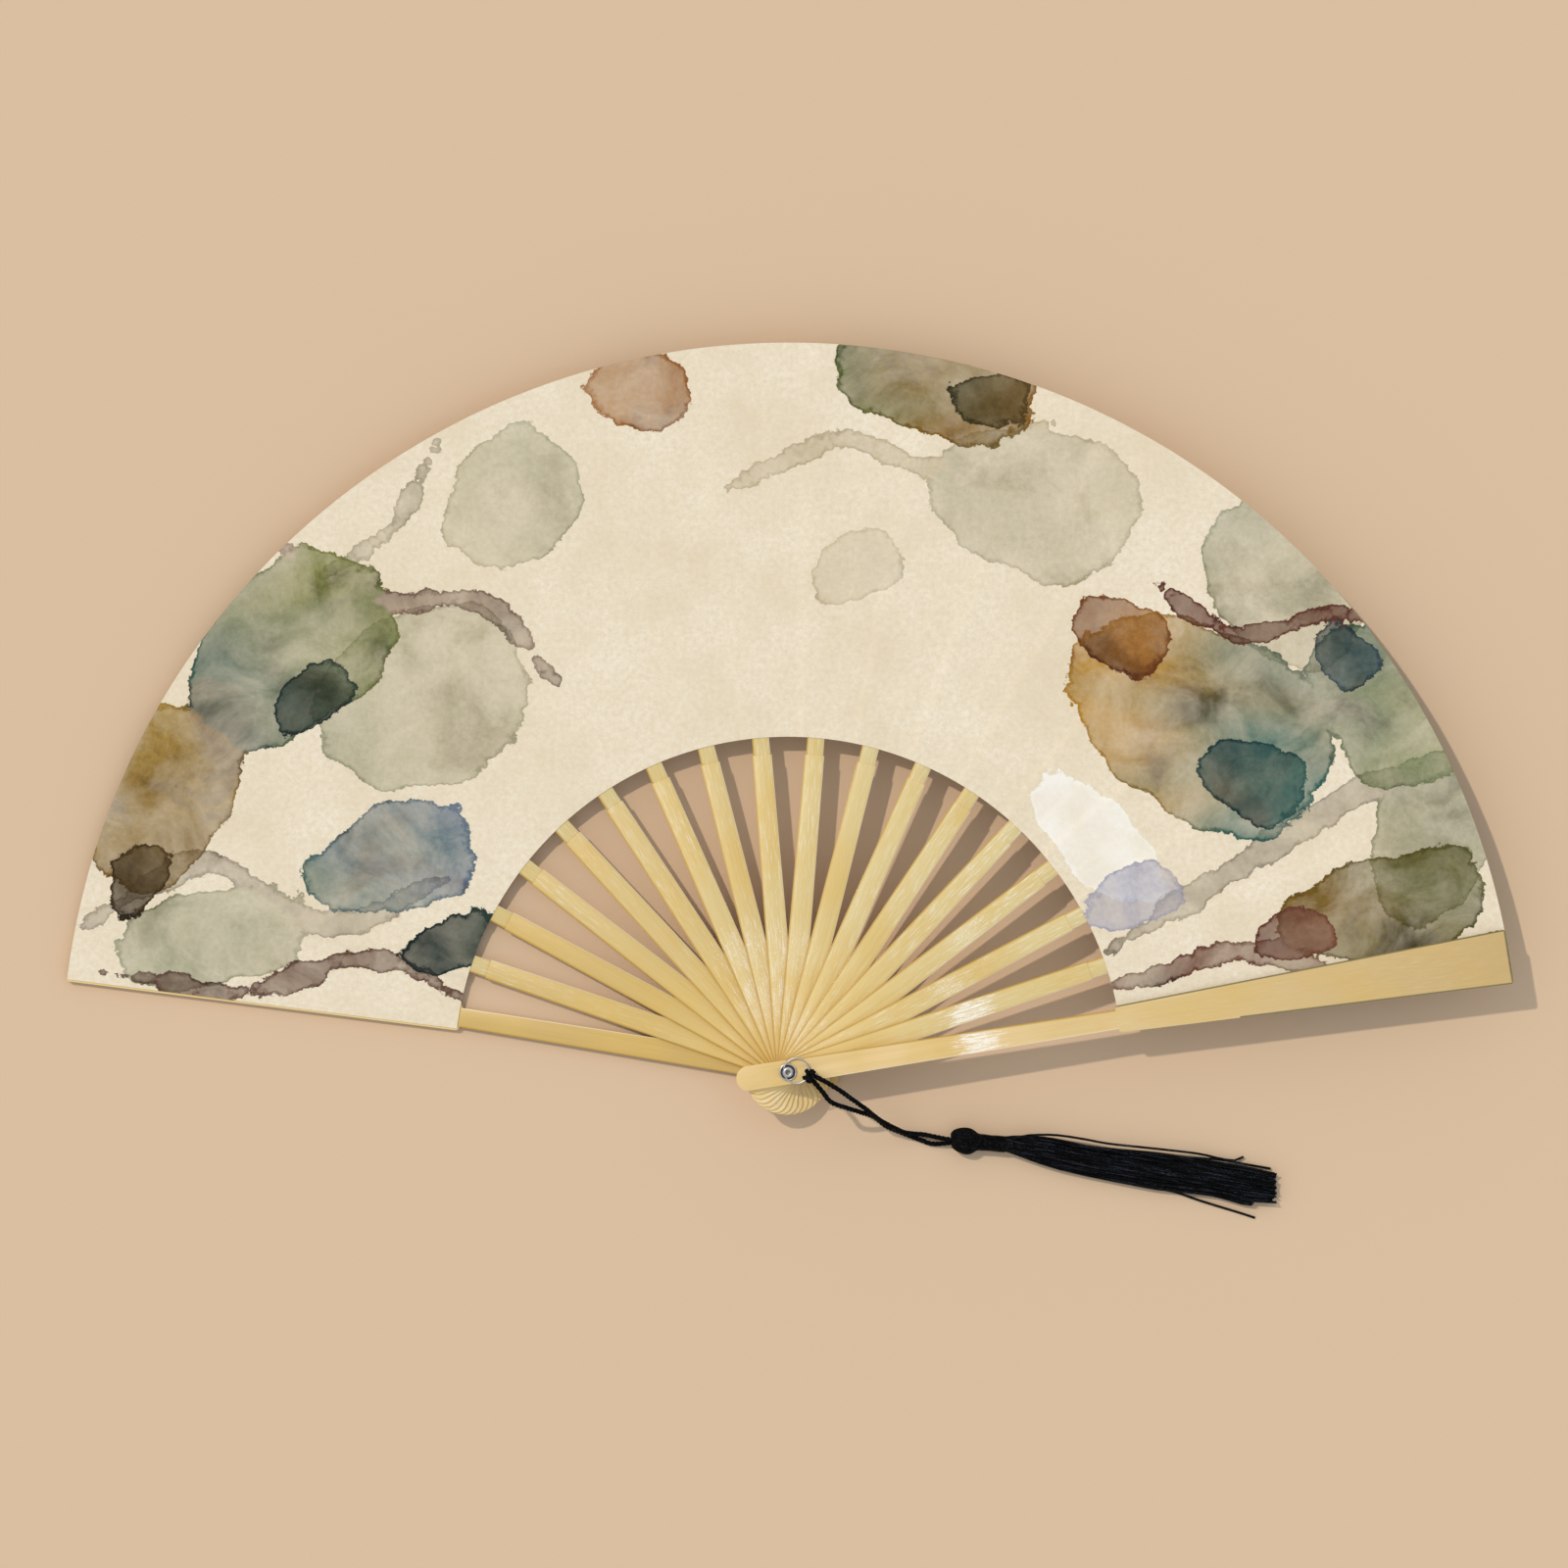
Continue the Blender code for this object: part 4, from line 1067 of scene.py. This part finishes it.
# %% [markdown]
# ## The leaf
#
# The real leaf is one cloth, pleated and glued to every stick. It is modelled as one sheet too: a
# grid bent into a ring sector, flat over each stick and stepping up to the next stick's level. Each
# point keeps its share of the front guard's whole turn: a stick's own share on its facet, changing
# over between two sticks on each free stretch, as a pleat would turn over.

# %% Levels and turns of the cloth
LEAF_INNER = 101.0 * MM
LEAF_OUTER = 220.0 * MM
LEAF_THICK = 0.16 * MM
LEAF_ROWS = 56
COLUMNS_A_PITCH = 24
# Counted in pitches: half of a stick's flat facet, the fold beside it, and room beside the next slip
HALF_FACET = 0.25
FOLD_RUN = 0.045
SLIP_ROOM = 0.012
FOLD_RISE = 0.18 * MM
SLIP_CLEAR_RISE = 0.28 * MM
BARE_GUARD_LINE = 0.6 * MM
END_REACH = (math.atan2(GUARD_WIDTHS[3] / 2, GUARD_REACH) - BARE_GUARD_LINE / GUARD_REACH) / PITCH
leaf_levels = [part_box(name)[0].z for name in PANEL_NAMES]
# Where the grid's columns lie, in pitches from the rear guard
marks = [-END_REACH, -END_REACH / 2]
marks += [index / COLUMNS_A_PITCH for index in range((RIB_COUNT + 1) * COLUMNS_A_PITCH + 1)]
marks += [RIB_COUNT + 1 + END_REACH / 2, RIB_COUNT + 1 + END_REACH]
print(f"cloth levels: {leaf_levels[0] / MM:.1f} mm on the rear guard, {leaf_levels[-1] / MM:.1f} mm in front")


def leaf_level(mark, radius):
    """Underside of the cloth, counted in pitches from the rear guard."""
    stick = min(RIB_COUNT, max(0, int(mark)))
    part = mark - stick
    low, high = leaf_levels[stick], leaf_levels[stick + 1]
    if part <= HALF_FACET:
        return low
    if part >= 1 - HALF_FACET:
        return high
    taper = (RIB_WIDTHS[3] - RIB_WIDTHS[2]) * (radius - RIB_STEP) / (SLIP_REACH - RIB_STEP)
    slip_edge = 0.5 + (RIB_WIDTHS[2] + taper) / 2 / radius / PITCH + SLIP_ROOM
    if part < HALF_FACET + FOLD_RUN:
        return low + FOLD_RISE * (part - HALF_FACET) / FOLD_RUN
    if part < slip_edge:
        share = (part - HALF_FACET - FOLD_RUN) / (slip_edge - HALF_FACET - FOLD_RUN)
        return low + FOLD_RISE + (SLIP_CLEAR_RISE - FOLD_RISE) * share
    share = (part - slip_edge) / (1 - HALF_FACET - slip_edge)
    return low + SLIP_CLEAR_RISE + (high - low - SLIP_CLEAR_RISE) * min(1.0, max(0.0, share))


def turn_share(mark):
    """Share of the front guard's turn: a stick's own on its facet, and changing over between two."""
    stick = min(RIB_COUNT, max(0, int(mark)))
    part = min(1.0, max(0.0, (mark - stick - HALF_FACET) / (1 - 2 * HALF_FACET)))
    return (stick + part) / (RIB_COUNT + 1)


# %% Leaf grid
bpy.ops.object.select_all(action="DESELECT")
bpy.ops.mesh.primitive_grid_add(x_subdivisions=len(marks) - 1, y_subdivisions=LEAF_ROWS, size=1)
leaf = bpy.context.object
columns = len(marks)
corners = np.array([tuple(vertex.co) for vertex in leaf.data.vertices])
column_of = np.rint((corners[:, 0] + 0.5) * (columns - 1)).astype(int)
row_of = np.rint((corners[:, 1] + 0.5) * LEAF_ROWS).astype(int)
mark_of = np.array(marks)[column_of]
radius_of = LEAF_OUTER + (LEAF_INNER - LEAF_OUTER) * row_of / LEAF_ROWS
angle_of = REAR_ANGLE - mark_of * PITCH
level_of = np.array([leaf_level(mark, radius) for mark, radius in zip(mark_of, radius_of)])
leaf_x, leaf_y = radius_of * np.cos(angle_of), radius_of * np.sin(angle_of)
leaf_points = np.stack([leaf_x, leaf_y, level_of], axis=1)
leaf.data.vertices.foreach_set("co", leaf_points.astype(np.float32).ravel())
shares = leaf.data.attributes.new("turn_share", "FLOAT", "POINT")
shares.data.foreach_set("value", np.array([turn_share(mark) for mark in mark_of], np.float32))
print(f"leaf grid: {columns} by {LEAF_ROWS + 1} points")

# %% [markdown]
# ## The print on the leaf
#
# The cloth carries a loose watercolour print on cream: here smooth river stones and ripples. Each
# wash is a simple outline, and what the mesh carries is only how far each point lies from the
# nearest outline, with the wash's colour. The finish then roughens the edge, gathers pigment along
# it and mottles the inside, so the detail is finer than the mesh.

# %% Washes of the print
# Stones: layer, x, y, half length, half width, lean in degrees, two tints and the strength
STONES = (
    (0, -112, 112, 33, 26, 20, "#B2B299", "#C6C0A6", 0.8),
    (0, -176, 40, 31, 15, 12, "#9DA68C", "#BBB79E", 0.85),
    (0, -84, 172, 23, 18, 50, "#C6BFA2", "#B0B298", 0.7),
    (0, 74, 172, 31, 22, -15, "#BBB8A0", "#CBC3A9", 0.75),
    (0, 150, 148, 28, 22, -40, "#A9AC96", "#C0B79B", 0.8),
    (0, 92, 72, 25, 11, -48, "#FFFFFF", "#FCFCF8", 1.0),
    (0, 194, 70, 26, 18, 70, "#A29D7C", "#9A9F86", 0.85),
    (0, 20, 152, 14, 10, 30, "#D3C8AC", "#C9C1A8", 0.5),
    (1, -152, 126, 35, 24, 42, "#47695F", "#8C9054", 0.97),
    (1, -189, 82, 31, 19, 62, "#7E5E10", "#AC8F42", 0.97),
    (1, -120, 64, 26, 16, 15, "#52766F", "#8290A6", 0.95),
    (1, 124, 106, 43, 28, -28, "#C09434", "#34706A", 0.97),
    (1, 180, 112, 27, 20, -50, "#4F7059", "#98A074", 0.92),
    (1, 180, 50, 31, 15, 12, "#7E6218", "#686C38", 0.97),
    (1, 44, 208, 31, 16, -12, "#5E6C2C", "#966A12", 0.97),
    (1, -46, 206, 17, 11, -12, "#B7844A", "#9C6834", 0.85),
    (1, 104, 52, 14, 9, 25, "#B1B3CC", "#BFBCC8", 0.9),
    (2, -102, 38, 16, 8, 20, "#0C2428", "#2E4A44", 0.98),
    (2, -144, 112, 14, 9, 40, "#18373A", "#3F5F50", 0.85),
    (2, -198, 58, 13, 8, 70, "#33260C", "#6A5222", 0.92),
    (2, 100, 132, 16, 10, -30, "#875022", "#B07B36", 0.85),
    (2, 140, 88, 18, 11, -20, "#1A4C50", "#3F736C", 0.88),
    (2, 60, 203, 13, 8, -10, "#363C1A", "#6B5624", 0.88),
    (2, 168, 126, 11, 8, -50, "#243E46", "#5A7480", 0.8),
    (2, 152, 41, 12, 7, 10, "#6A3828", "#94604A", 0.88),
)
# Ripples: layer, points along the stroke in millimetres, widest half width, tint and strength
RIPPLES = (
    (0, ((-214, 44), (-176, 62), (-140, 44), (-104, 58)), 4.2, "#ADA393", 0.8),
    (0, ((96, 36), (134, 60), (172, 84), (206, 92)), 4.4, "#A89F8E", 0.8),
    (0, ((-140, 150), (-118, 166), (-106, 190)), 3.0, "#B9B19C", 0.7),
    (0, ((-18, 176), (16, 190), (46, 182), (80, 196)), 3.4, "#C4B79A", 0.7),
    (1, ((-206, 30), (-166, 24), (-128, 34), (-98, 22)), 3.6, "#745548", 0.9),
    (1, ((-160, 162), (-124, 142), (-92, 142), (-70, 118)), 3.2, "#957A6A", 0.75),
    (1, ((98, 26), (140, 36), (176, 27), (214, 42)), 3.6, "#7C5242", 0.9),
    (2, ((106, 152), (134, 132), (168, 138), (196, 122)), 3.0, "#714030", 0.88),
)
LAYERS = 3

# %% Distance from each point to the washes
STONE_BULGE = 0.16  # how much wider a stone is towards one end
STONE_ROUND = 2.3  # 2 is an ellipse, and more is squarer
SWIRL = 0.28  # how far a stone's two tints run into each other
SWIRL_X, SWIRL_Y, SWIRL_BEND = 11.0, 8.0, 9.0  # millimetres for each radian of its waves
RIPPLE_TIP = 0.4  # a stroke's width at its ends, as a share of its widest
RIPPLE_FULL = 0.7  # less than 1 fills the stroke out towards its ends
RIPPLE_STEP = 3.0 * MM
FAR_OUT = 50.0  # millimetres, where no wash is near


def stone_distance(x, y, half_length, half_width, lean, cx, cy):
    """Roughly how far outside a rounded stone each point lies in millimetres, and its tint's share."""
    lean = math.radians(lean)
    along = (x - cx) * math.cos(lean) + (y - cy) * math.sin(lean)
    aside = (y - cy) * math.cos(lean) - (x - cx) * math.sin(lean)
    bulge = 1.0 + STONE_BULGE * along / half_length
    reach = np.abs(along / half_length) ** STONE_ROUND
    reach = (reach + np.abs(aside / half_width / bulge) ** STONE_ROUND) ** (1 / STONE_ROUND)
    swirl = SWIRL * np.sin(x / SWIRL_X + 1.7 * np.sin(y / SWIRL_BEND)) * np.sin(y / SWIRL_Y + cx)
    return (reach - 1.0) * half_width, np.clip(0.5 + along / half_length / 2 + swirl, 0, 1)


def ripple_distance(x, y, points, widest):
    """How far outside a tapered brush stroke each point lies in millimetres, and its tint's share."""
    route = smooth_route([(px, py, 0.0) for px, py in points], RIPPLE_STEP)
    best, place = np.full(len(x), 1e3), np.zeros(len(x))
    for index, point in enumerate(route):
        share = index / (len(route) - 1)
        belly = math.sin(math.pi * share) ** RIPPLE_FULL
        width = widest * (RIPPLE_TIP + (1 - RIPPLE_TIP) * belly)
        distance = np.hypot(x - point.x / MM, y - point.y / MM) - width
        place = np.where(distance < best, share, place)
        best = np.minimum(best, distance)
    return best, place


def wash_layers(x, y):
    """For each layer, the distance to its nearest wash and that wash's colour and strength."""
    distance = np.full((LAYERS, len(x)), FAR_OUT)
    tint = np.zeros((LAYERS, len(x), 4))
    washes = []
    for layer, cx, cy, half_length, half_width, lean, first, second, strength in STONES:
        reached = stone_distance(x, y, half_length, half_width, lean, cx, cy)
        washes.append((layer, reached, first, second, strength))
    for layer, points, widest, code, strength in RIPPLES:
        washes.append((layer, ripple_distance(x, y, points, widest), code, code, strength))
    for layer, (outside, blend), first, second, strength in washes:
        nearer = outside < distance[layer]
        mixed = np.outer(1 - blend, colour(first, strength))
        mixed += np.outer(blend, colour(second, strength))
        tint[layer][nearer] = mixed[nearer]
        distance[layer] = np.minimum(distance[layer], outside)
    return distance, tint


wash_distance, wash_tint = wash_layers(leaf_x / MM, leaf_y / MM)
for layer in range(LAYERS):
    values = leaf.data.attributes.new(f"wash_edge_{layer}", "FLOAT", "POINT")
    values.data.foreach_set("value", wash_distance[layer].astype(np.float32))
    tints = leaf.data.attributes.new(f"wash_tint_{layer}", "FLOAT_COLOR", "POINT")
    tints.data.foreach_set("color", wash_tint[layer].astype(np.float32).ravel())
print(f"{len(STONES)} stones and {len(RIPPLES)} ripples in {LAYERS} layers")

# %% Leaf thickness, map and fold
layer = leaf.data.uv_layers[0]
layer.name = "leaf"
loops = np.zeros(len(leaf.data.loops), int)
leaf.data.loops.foreach_get("vertex_index", loops)
flat_points = np.stack([leaf_x, leaf_y], axis=1)
layer.data.foreach_set("uv", flat_points[loops].astype(np.float32).ravel())
alone(leaf)
bpy.ops.object.mode_set(mode="EDIT")
bpy.ops.mesh.select_all(action="SELECT")
bpy.ops.mesh.normals_make_consistent(inside=False)
leave_edit()
if sum(face.normal.z for face in leaf.data.polygons) < 0:
    bpy.ops.object.mode_set(mode="EDIT")
    bpy.ops.mesh.flip_normals()
    leave_edit()
modify(leaf, "SOLIDIFY", thickness=LEAF_THICK, offset=1.0)
print(f"leaf with its thickness: {len(leaf.data.vertices)} points")

# %% [markdown]
# ## Printed cloth
#
# The leaf is thin glazed cloth, printed on its face: matt, very slightly uneven like handmade paper,
# with a weave too fine to see from a step away. The weave here is drawn at 0.7 mm, coarser than the
# real quarter of a millimetre, so that a close view still shows cloth. Each wash is laid over the
# cloth as its pigment would be: thin where it has run off, pooled in places, dark along its edge.

# %% One layer of washes
# A wash's edge, in millimetres: how wide its dark rim is, and how soft its outline
RIM_WIDTH = 1.3
EDGE_BLUR = 0.12
POOL_SIZE = 16.0 * MM
POOL_SHIFT = 0.37  # metres between the noise of one layer's pools and the next's
THINNEST = (0.45, 0.55, 0.8)  # share of a wash's pigment that stays where it has run off
GLAZE_SHARE = 0.35  # the rest of a wash hides what is under it


def noise_scale(size):
    """The scale at which a noise's lumps are about that size."""
    return 1 / size / 2


def washed(tree, layer, place, shade, rough, bloom, granules):
    """The cloth's shade with one layer of washes over it."""
    edge = add(tree, "Attribute", attribute_name=f"wash_edge_{layer}")
    tint = add(tree, "Attribute", attribute_name=f"wash_tint_{layer}")
    outside = add(tree, "Math", {0: edge.outputs["Fac"], 1: rough}, operation="ADD")
    cover = add(tree, "MapRange", {
        "Value": outside, "From Min": EDGE_BLUR, "From Max": -EDGE_BLUR,
    }, interpolation_type="SMOOTHSTEP")
    rim = add(tree, "MapRange", {
        "Value": outside, "From Min": -RIM_WIDTH, "From Max": 0.0, "To Min": 0.0, "To Max": 0.3,
    }, interpolation_type="SMOOTHSTEP")
    mottle = add(tree, "MapRange", {
        "Value": bloom, "From Min": 0.32 + 0.03 * layer, "From Max": 0.66, "To Min": THINNEST[layer]})
    dose = add(tree, "Math", {0: mottle, 1: tint.outputs["Alpha"]}, operation="MULTIPLY")
    dose = add(tree, "Math", {0: dose, 1: rim}, operation="ADD", use_clamp=True)
    dose = add(tree, "Math", {0: dose, 1: cover}, operation="MULTIPLY")
    shift = (POOL_SHIFT * (layer + 1), 0.0, 0.0)
    shifted = add(tree, "VectorMath", {0: place, 1: shift}, operation="ADD")
    pool = add(tree, "TexNoise", {
        "Vector": shifted, "Scale": noise_scale(POOL_SIZE), "Detail": 5.0, "Roughness": 0.6,
        "Distortion": 0.5,
    })
    pool = add(tree, "MapRange", {
        "Value": pool, "From Min": 0.5, "From Max": 0.68, "To Max": 0.9,
    }, interpolation_type="SMOOTHSTEP")
    pigment = tint.outputs["Color"]
    for share in (pool, granules, rim):
        pigment = add(tree, "Mix", {
            "Factor": share, "A": pigment, "B": pigment}, data_type="RGBA", blend_type="MULTIPLY")
    glaze = add(tree, "Mix", {
        "Factor": dose, "A": shade, "B": pigment}, data_type="RGBA", blend_type="MULTIPLY")
    body = add(tree, "Mix", {"Factor": dose, "A": shade, "B": pigment}, data_type="RGBA")
    return add(tree, "Mix", {"Factor": GLAZE_SHARE, "A": body, "B": glaze}, data_type="RGBA")


# %% Ragged edges and weave
# How far a wash's edge wanders, in millimetres, and the size of its bays: broad ones, then crumbs
DECKLE, DECKLE_SIZE = 2.0, 8.0 * MM
FINE_DECKLE, FINE_DECKLE_SIZE = 0.6, 1.1 * MM
WEAVE = 0.7 * MM
WEAVE_RELIEF = 0.06 * MM


def ragged_edge(tree, place):
    """Millimetres to add to each place's distance from a wash, so that the wash's edge wanders."""
    coarse = add(tree, "TexNoise", {
        "Vector": place, "Scale": noise_scale(DECKLE_SIZE), "Detail": 3.0})
    crumbs = add(tree, "TexNoise", {
        "Vector": place, "Scale": noise_scale(FINE_DECKLE_SIZE), "Detail": 4.0, "Roughness": 0.7})
    wobble = add(tree, "MapRange", {
        "Value": coarse, "From Min": 0.3, "From Max": 0.7, "To Min": -DECKLE, "To Max": DECKLE})
    crumble = add(tree, "MapRange", {
        "Value": crumbs, "From Min": 0.3, "From Max": 0.7,
        "To Min": -FINE_DECKLE, "To Max": FINE_DECKLE,
    })
    return add(tree, "Math", {0: wobble, 1: crumble}, operation="ADD")


def woven_relief(tree, place, speckle):
    """Threads crossing at right angles, on cloth as uneven as its speckle."""
    parts = add(tree, "SeparateXYZ", {"Vector": place})
    threads = []
    for axis in ("X", "Y"):
        run = add(tree, "Math", {0: parts.outputs[axis], 1: math.tau / WEAVE}, operation="MULTIPLY")
        threads.append(add(tree, "Math", {0: run}, operation="SINE"))
    weave = add(tree, "Math", {0: threads[0], 1: threads[1]}, operation="MULTIPLY")
    height = add(tree, "Math", {0: weave, 1: 0.25, 2: speckle}, operation="MULTIPLY_ADD")
    return add(tree, "Bump", {"Strength": 0.25, "Distance": WEAVE_RELIEF, "Height": height})


# %% Cloth finish
CLOTH_DARK, CLOTH_LIGHT, CLOTH_SPECKLE = "#E5D8BD", "#F3EAD7", "#DFCDAD"
CLOUD_SIZE = 17.0 * MM
SPECKLE_SIZE = 0.8 * MM
BLOOM_SIZE = 11.0 * MM
GRANULE_SIZE = 0.9 * MM


def printed_cloth():
    finish, tree = new_finish("printed_silk_cloth")
    place = add(tree, "UVMap", uv_map="leaf")
    cloud = add(tree, "TexNoise", {
        "Vector": place, "Scale": noise_scale(CLOUD_SIZE), "Detail": 6.0, "Roughness": 0.68})
    cloud = add(tree, "MapRange", {"Value": cloud, "From Min": 0.35, "From Max": 0.65})
    speckle = add(tree, "TexNoise", {
        "Vector": place, "Scale": noise_scale(SPECKLE_SIZE), "Detail": 5.0, "Roughness": 0.75})
    shade = add(tree, "Mix", {
        "Factor": cloud, "A": colour(CLOTH_DARK), "B": colour(CLOTH_LIGHT)}, data_type="RGBA")
    spots = add(tree, "MapRange", {
        "Value": speckle, "From Min": 0.35, "From Max": 0.68, "To Max": 0.8})
    shade = add(tree, "Mix", {
        "Factor": spots, "A": shade, "B": colour(CLOTH_SPECKLE)}, data_type="RGBA")
    bloom = add(tree, "TexNoise", {
        "Vector": place, "Scale": noise_scale(BLOOM_SIZE), "Detail": 6.0, "Roughness": 0.62,
        "Distortion": 0.6,
    })
    granules = add(tree, "TexNoise", {
        "Vector": place, "Scale": noise_scale(GRANULE_SIZE), "Detail": 3.0, "Roughness": 0.7})
    granules = add(tree, "MapRange", {
        "Value": granules, "From Min": 0.38, "From Max": 0.62, "To Max": 0.3})
    rough = ragged_edge(tree, place)
    for layer in range(LAYERS):
        shade = washed(tree, layer, place, shade, rough, bloom, granules)
    relief = woven_relief(tree, place, speckle)
    shader = add(tree, "BsdfPrincipled", {
        "Base Color": shade, "Roughness": 0.85, "Normal": relief, "Sheen Weight": 0.05,
        "Specular IOR Level": 0.25,
    })
    add(tree, "OutputMaterial", {"Surface": shader})
    return finish


# %% The leaf on its sticks
file_piece(leaf, "cloth_leaf", printed_cloth(), stands_for=PANEL_NAMES, smooth=50)
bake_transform(leaf)
shares = np.zeros(len(leaf.data.vertices), np.float32)
leaf.data.attributes["turn_share"].data.foreach_get("value", shares)

# %% [markdown]
# ## Rivet and cups
#
# The rivet is a thin pin with a flat head at the back and a dimpled head in front, and under each
# head lies a dished washer. All are round, so each is turned: a disc whose rim is extruded from ring
# to ring down its outline.

# %% Turned pieces
ROUND_STEPS = 64


def turned(outline):
    """A closed round piece; outline holds (radius, level) pairs, and both its ends are filled."""
    bpy.ops.object.select_all(action="DESELECT")
    first_radius, first_level = outline[0]
    bpy.ops.mesh.primitive_circle_add(
        vertices=ROUND_STEPS, radius=first_radius, fill_type="NGON", location=(0, 0, first_level))
    piece = bpy.context.object
    settle(piece)
    bpy.ops.object.mode_set(mode="EDIT")
    bpy.ops.mesh.select_mode(type="FACE")
    bpy.ops.mesh.select_all(action="SELECT")
    for (radius, level), (next_radius, next_level) in zip(outline, outline[1:]):
        bpy.ops.mesh.extrude_region_move(TRANSFORM_OT_translate={"value": (0, 0, next_level - level)})
        growth = next_radius / radius
        bpy.ops.transform.resize(value=(growth, growth, 1), center_override=(0, 0, next_level))
    bpy.ops.mesh.select_all(action="SELECT")
    bpy.ops.mesh.normals_make_consistent(inside=False)
    leave_edit()
    return piece


# %% Rivet
# Radius and level in millimetres: the head counted down from its top, the foot up from the table
RIVET_HEAD_OUTLINE = (
    (0.02, -0.26), (0.38, -0.25), (0.6, -0.2), (0.74, -0.06), (0.86, 0.0), (1.2, -0.01), (1.42, -0.09),
    (1.54, -0.25), (1.55, -0.45), (1.5, -0.66), (1.3, -0.7), (0.65, -0.7),
)
RIVET_FOOT_OUTLINE = (
    (0.65, 0.6), (1.4, 0.6), (1.5, 0.5), (1.5, 0.2), (1.42, 0.08), (1.3, 0.0), (0.02, 0.0),
)
rivet_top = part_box("rivet")[1].z
rivet_outline = [(radius * MM, rivet_top + level * MM) for radius, level in RIVET_HEAD_OUTLINE]
rivet_outline += [(radius * MM, level * MM) for radius, level in RIVET_FOOT_OUTLINE]
rivet = turned(rivet_outline)
file_piece(rivet, "rivet_pin", nickel, "rear_guard", ["rivet"], smooth=50)

# %% Cups
CUP_OUTLINE = (
    (0.9, 0.2), (0.9, 0.0), (1.7, 0.0), (1.98, 0.06), (2.3, 0.2), (2.5, 0.36), (2.58, 0.44), (2.6, 0.52),
    (2.55, 0.58), (2.45, 0.6), (2.22, 0.59), (2.12, 0.52), (2.02, 0.36), (1.9, 0.25), (1.66, 0.2),
    (0.9, 0.2),
)


def cup(name, node, upside_down):
    """A dished washer; its outline is a closed ring, so its first and last rims are welded."""
    low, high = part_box(node)
    outline = [(radius * MM, level * MM) for radius, level in CUP_OUTLINE]
    piece = turned(outline)
    pick(piece, "FACE", lambda middle, spread: math.hypot(middle.x, middle.y) < 0.1 * MM)
    bpy.ops.mesh.delete(type="ONLY_FACE")
    bpy.ops.mesh.select_all(action="SELECT")
    bpy.ops.mesh.remove_doubles(threshold=1e-7)
    bpy.ops.mesh.normals_make_consistent(inside=False)
    leave_edit()
    if upside_down:
        piece.data.transform(Matrix.Translation((0, 0, high.z)) @ Matrix.Rotation(math.pi, 4, "X"))
    else:
        piece.data.transform(Matrix.Translation((0, 0, low.z)))
    file_piece(piece, name, nickel, "rear_guard", [node], smooth=50)


cup("pressed_front_cup", "front_cup", False)
cup("pressed_rear_cup", "rear_cup", True)

# %% [markdown]
# ## Table, lamps and sky
#
# A plain pale table takes the fan's shadow. A small, slightly warm lamp from the upper left gives it,
# and a slightly cool sky, with about two thirds of all the light, keeps it soft and pale. Together
# they light a surface that faces up at a level of one, so a colour comes out as it is written.
# Camera, glossy and transmitted rays see a plain backdrop in the sky's place, so the metal shows
# that too.

# %% Table
TABLE_SIDE = 8.0
TABLE_PAINT = "#DABFA1"


def matt_paint():
    finish, tree = new_finish("matt_painted_table")
    shader = add(tree, "BsdfPrincipled", {
        "Base Color": colour(TABLE_PAINT), "Roughness": 1.0, "Specular IOR Level": 0.0,
    })
    add(tree, "OutputMaterial", {"Surface": shader})
    return finish


bpy.ops.object.select_all(action="DESELECT")
bpy.ops.mesh.primitive_plane_add(size=TABLE_SIDE)
table = bpy.context.object
table.name = "table"
table.data.materials.append(matt_paint())
print(f"table: {TABLE_SIDE:.0f} m square")

# %% Lamps and sky
LIGHT_SLOPE = Vector((0.43, -0.39, -1.0))
SKY_SHARES = (0.63, 0.67, 0.715)  # of the red, green and blue light; the lamp gives the rest
LAMP_ANGLE = math.radians(1.5)
LAMP_SHARES = [1.0 - share for share in SKY_SHARES]
BACKDROP = "#E6DCCB"

bpy.ops.object.light_add(type="SUN", location=(-1.0, 1.0, 2.0))
lamp = bpy.context.object
lamp.name = "window_lamp"
lamp.rotation_euler = LIGHT_SLOPE.to_track_quat("-Z", "Y").to_euler()
lamp.data.angle = LAMP_ANGLE
lamp.data.color = [share / LAMP_SHARES[0] for share in LAMP_SHARES]
lamp.data.energy = LAMP_SHARES[0] * math.pi * LIGHT_SLOPE.length

world = bpy.data.worlds.new("pale_sky")
bpy.context.scene.world = world
world.use_nodes = True
world.node_tree.nodes.clear()
tree = world.node_tree
sky = add(tree, "Background", {"Color": (*SKY_SHARES, 1.0), "Strength": 1.0})
backdrop = add(tree, "Background", {"Color": colour(BACKDROP), "Strength": 1.0})
ray = add(tree, "LightPath")
seen = add(tree, "Math", {
    0: ray.outputs["Is Camera Ray"], 1: ray.outputs["Is Glossy Ray"]}, operation="MAXIMUM")
seen = add(tree, "Math", {0: seen, 1: ray.outputs["Is Transmission Ray"]}, operation="MAXIMUM")
mixed = add(tree, "MixShader", {0: seen, 1: sky, 2: backdrop})
add(tree, "OutputWorld", {"Surface": mixed})
bpy.context.scene.view_settings.view_transform = "Standard"
print(f"lamp {lamp.data.energy:.2f}, sky {SKY_SHARES}")
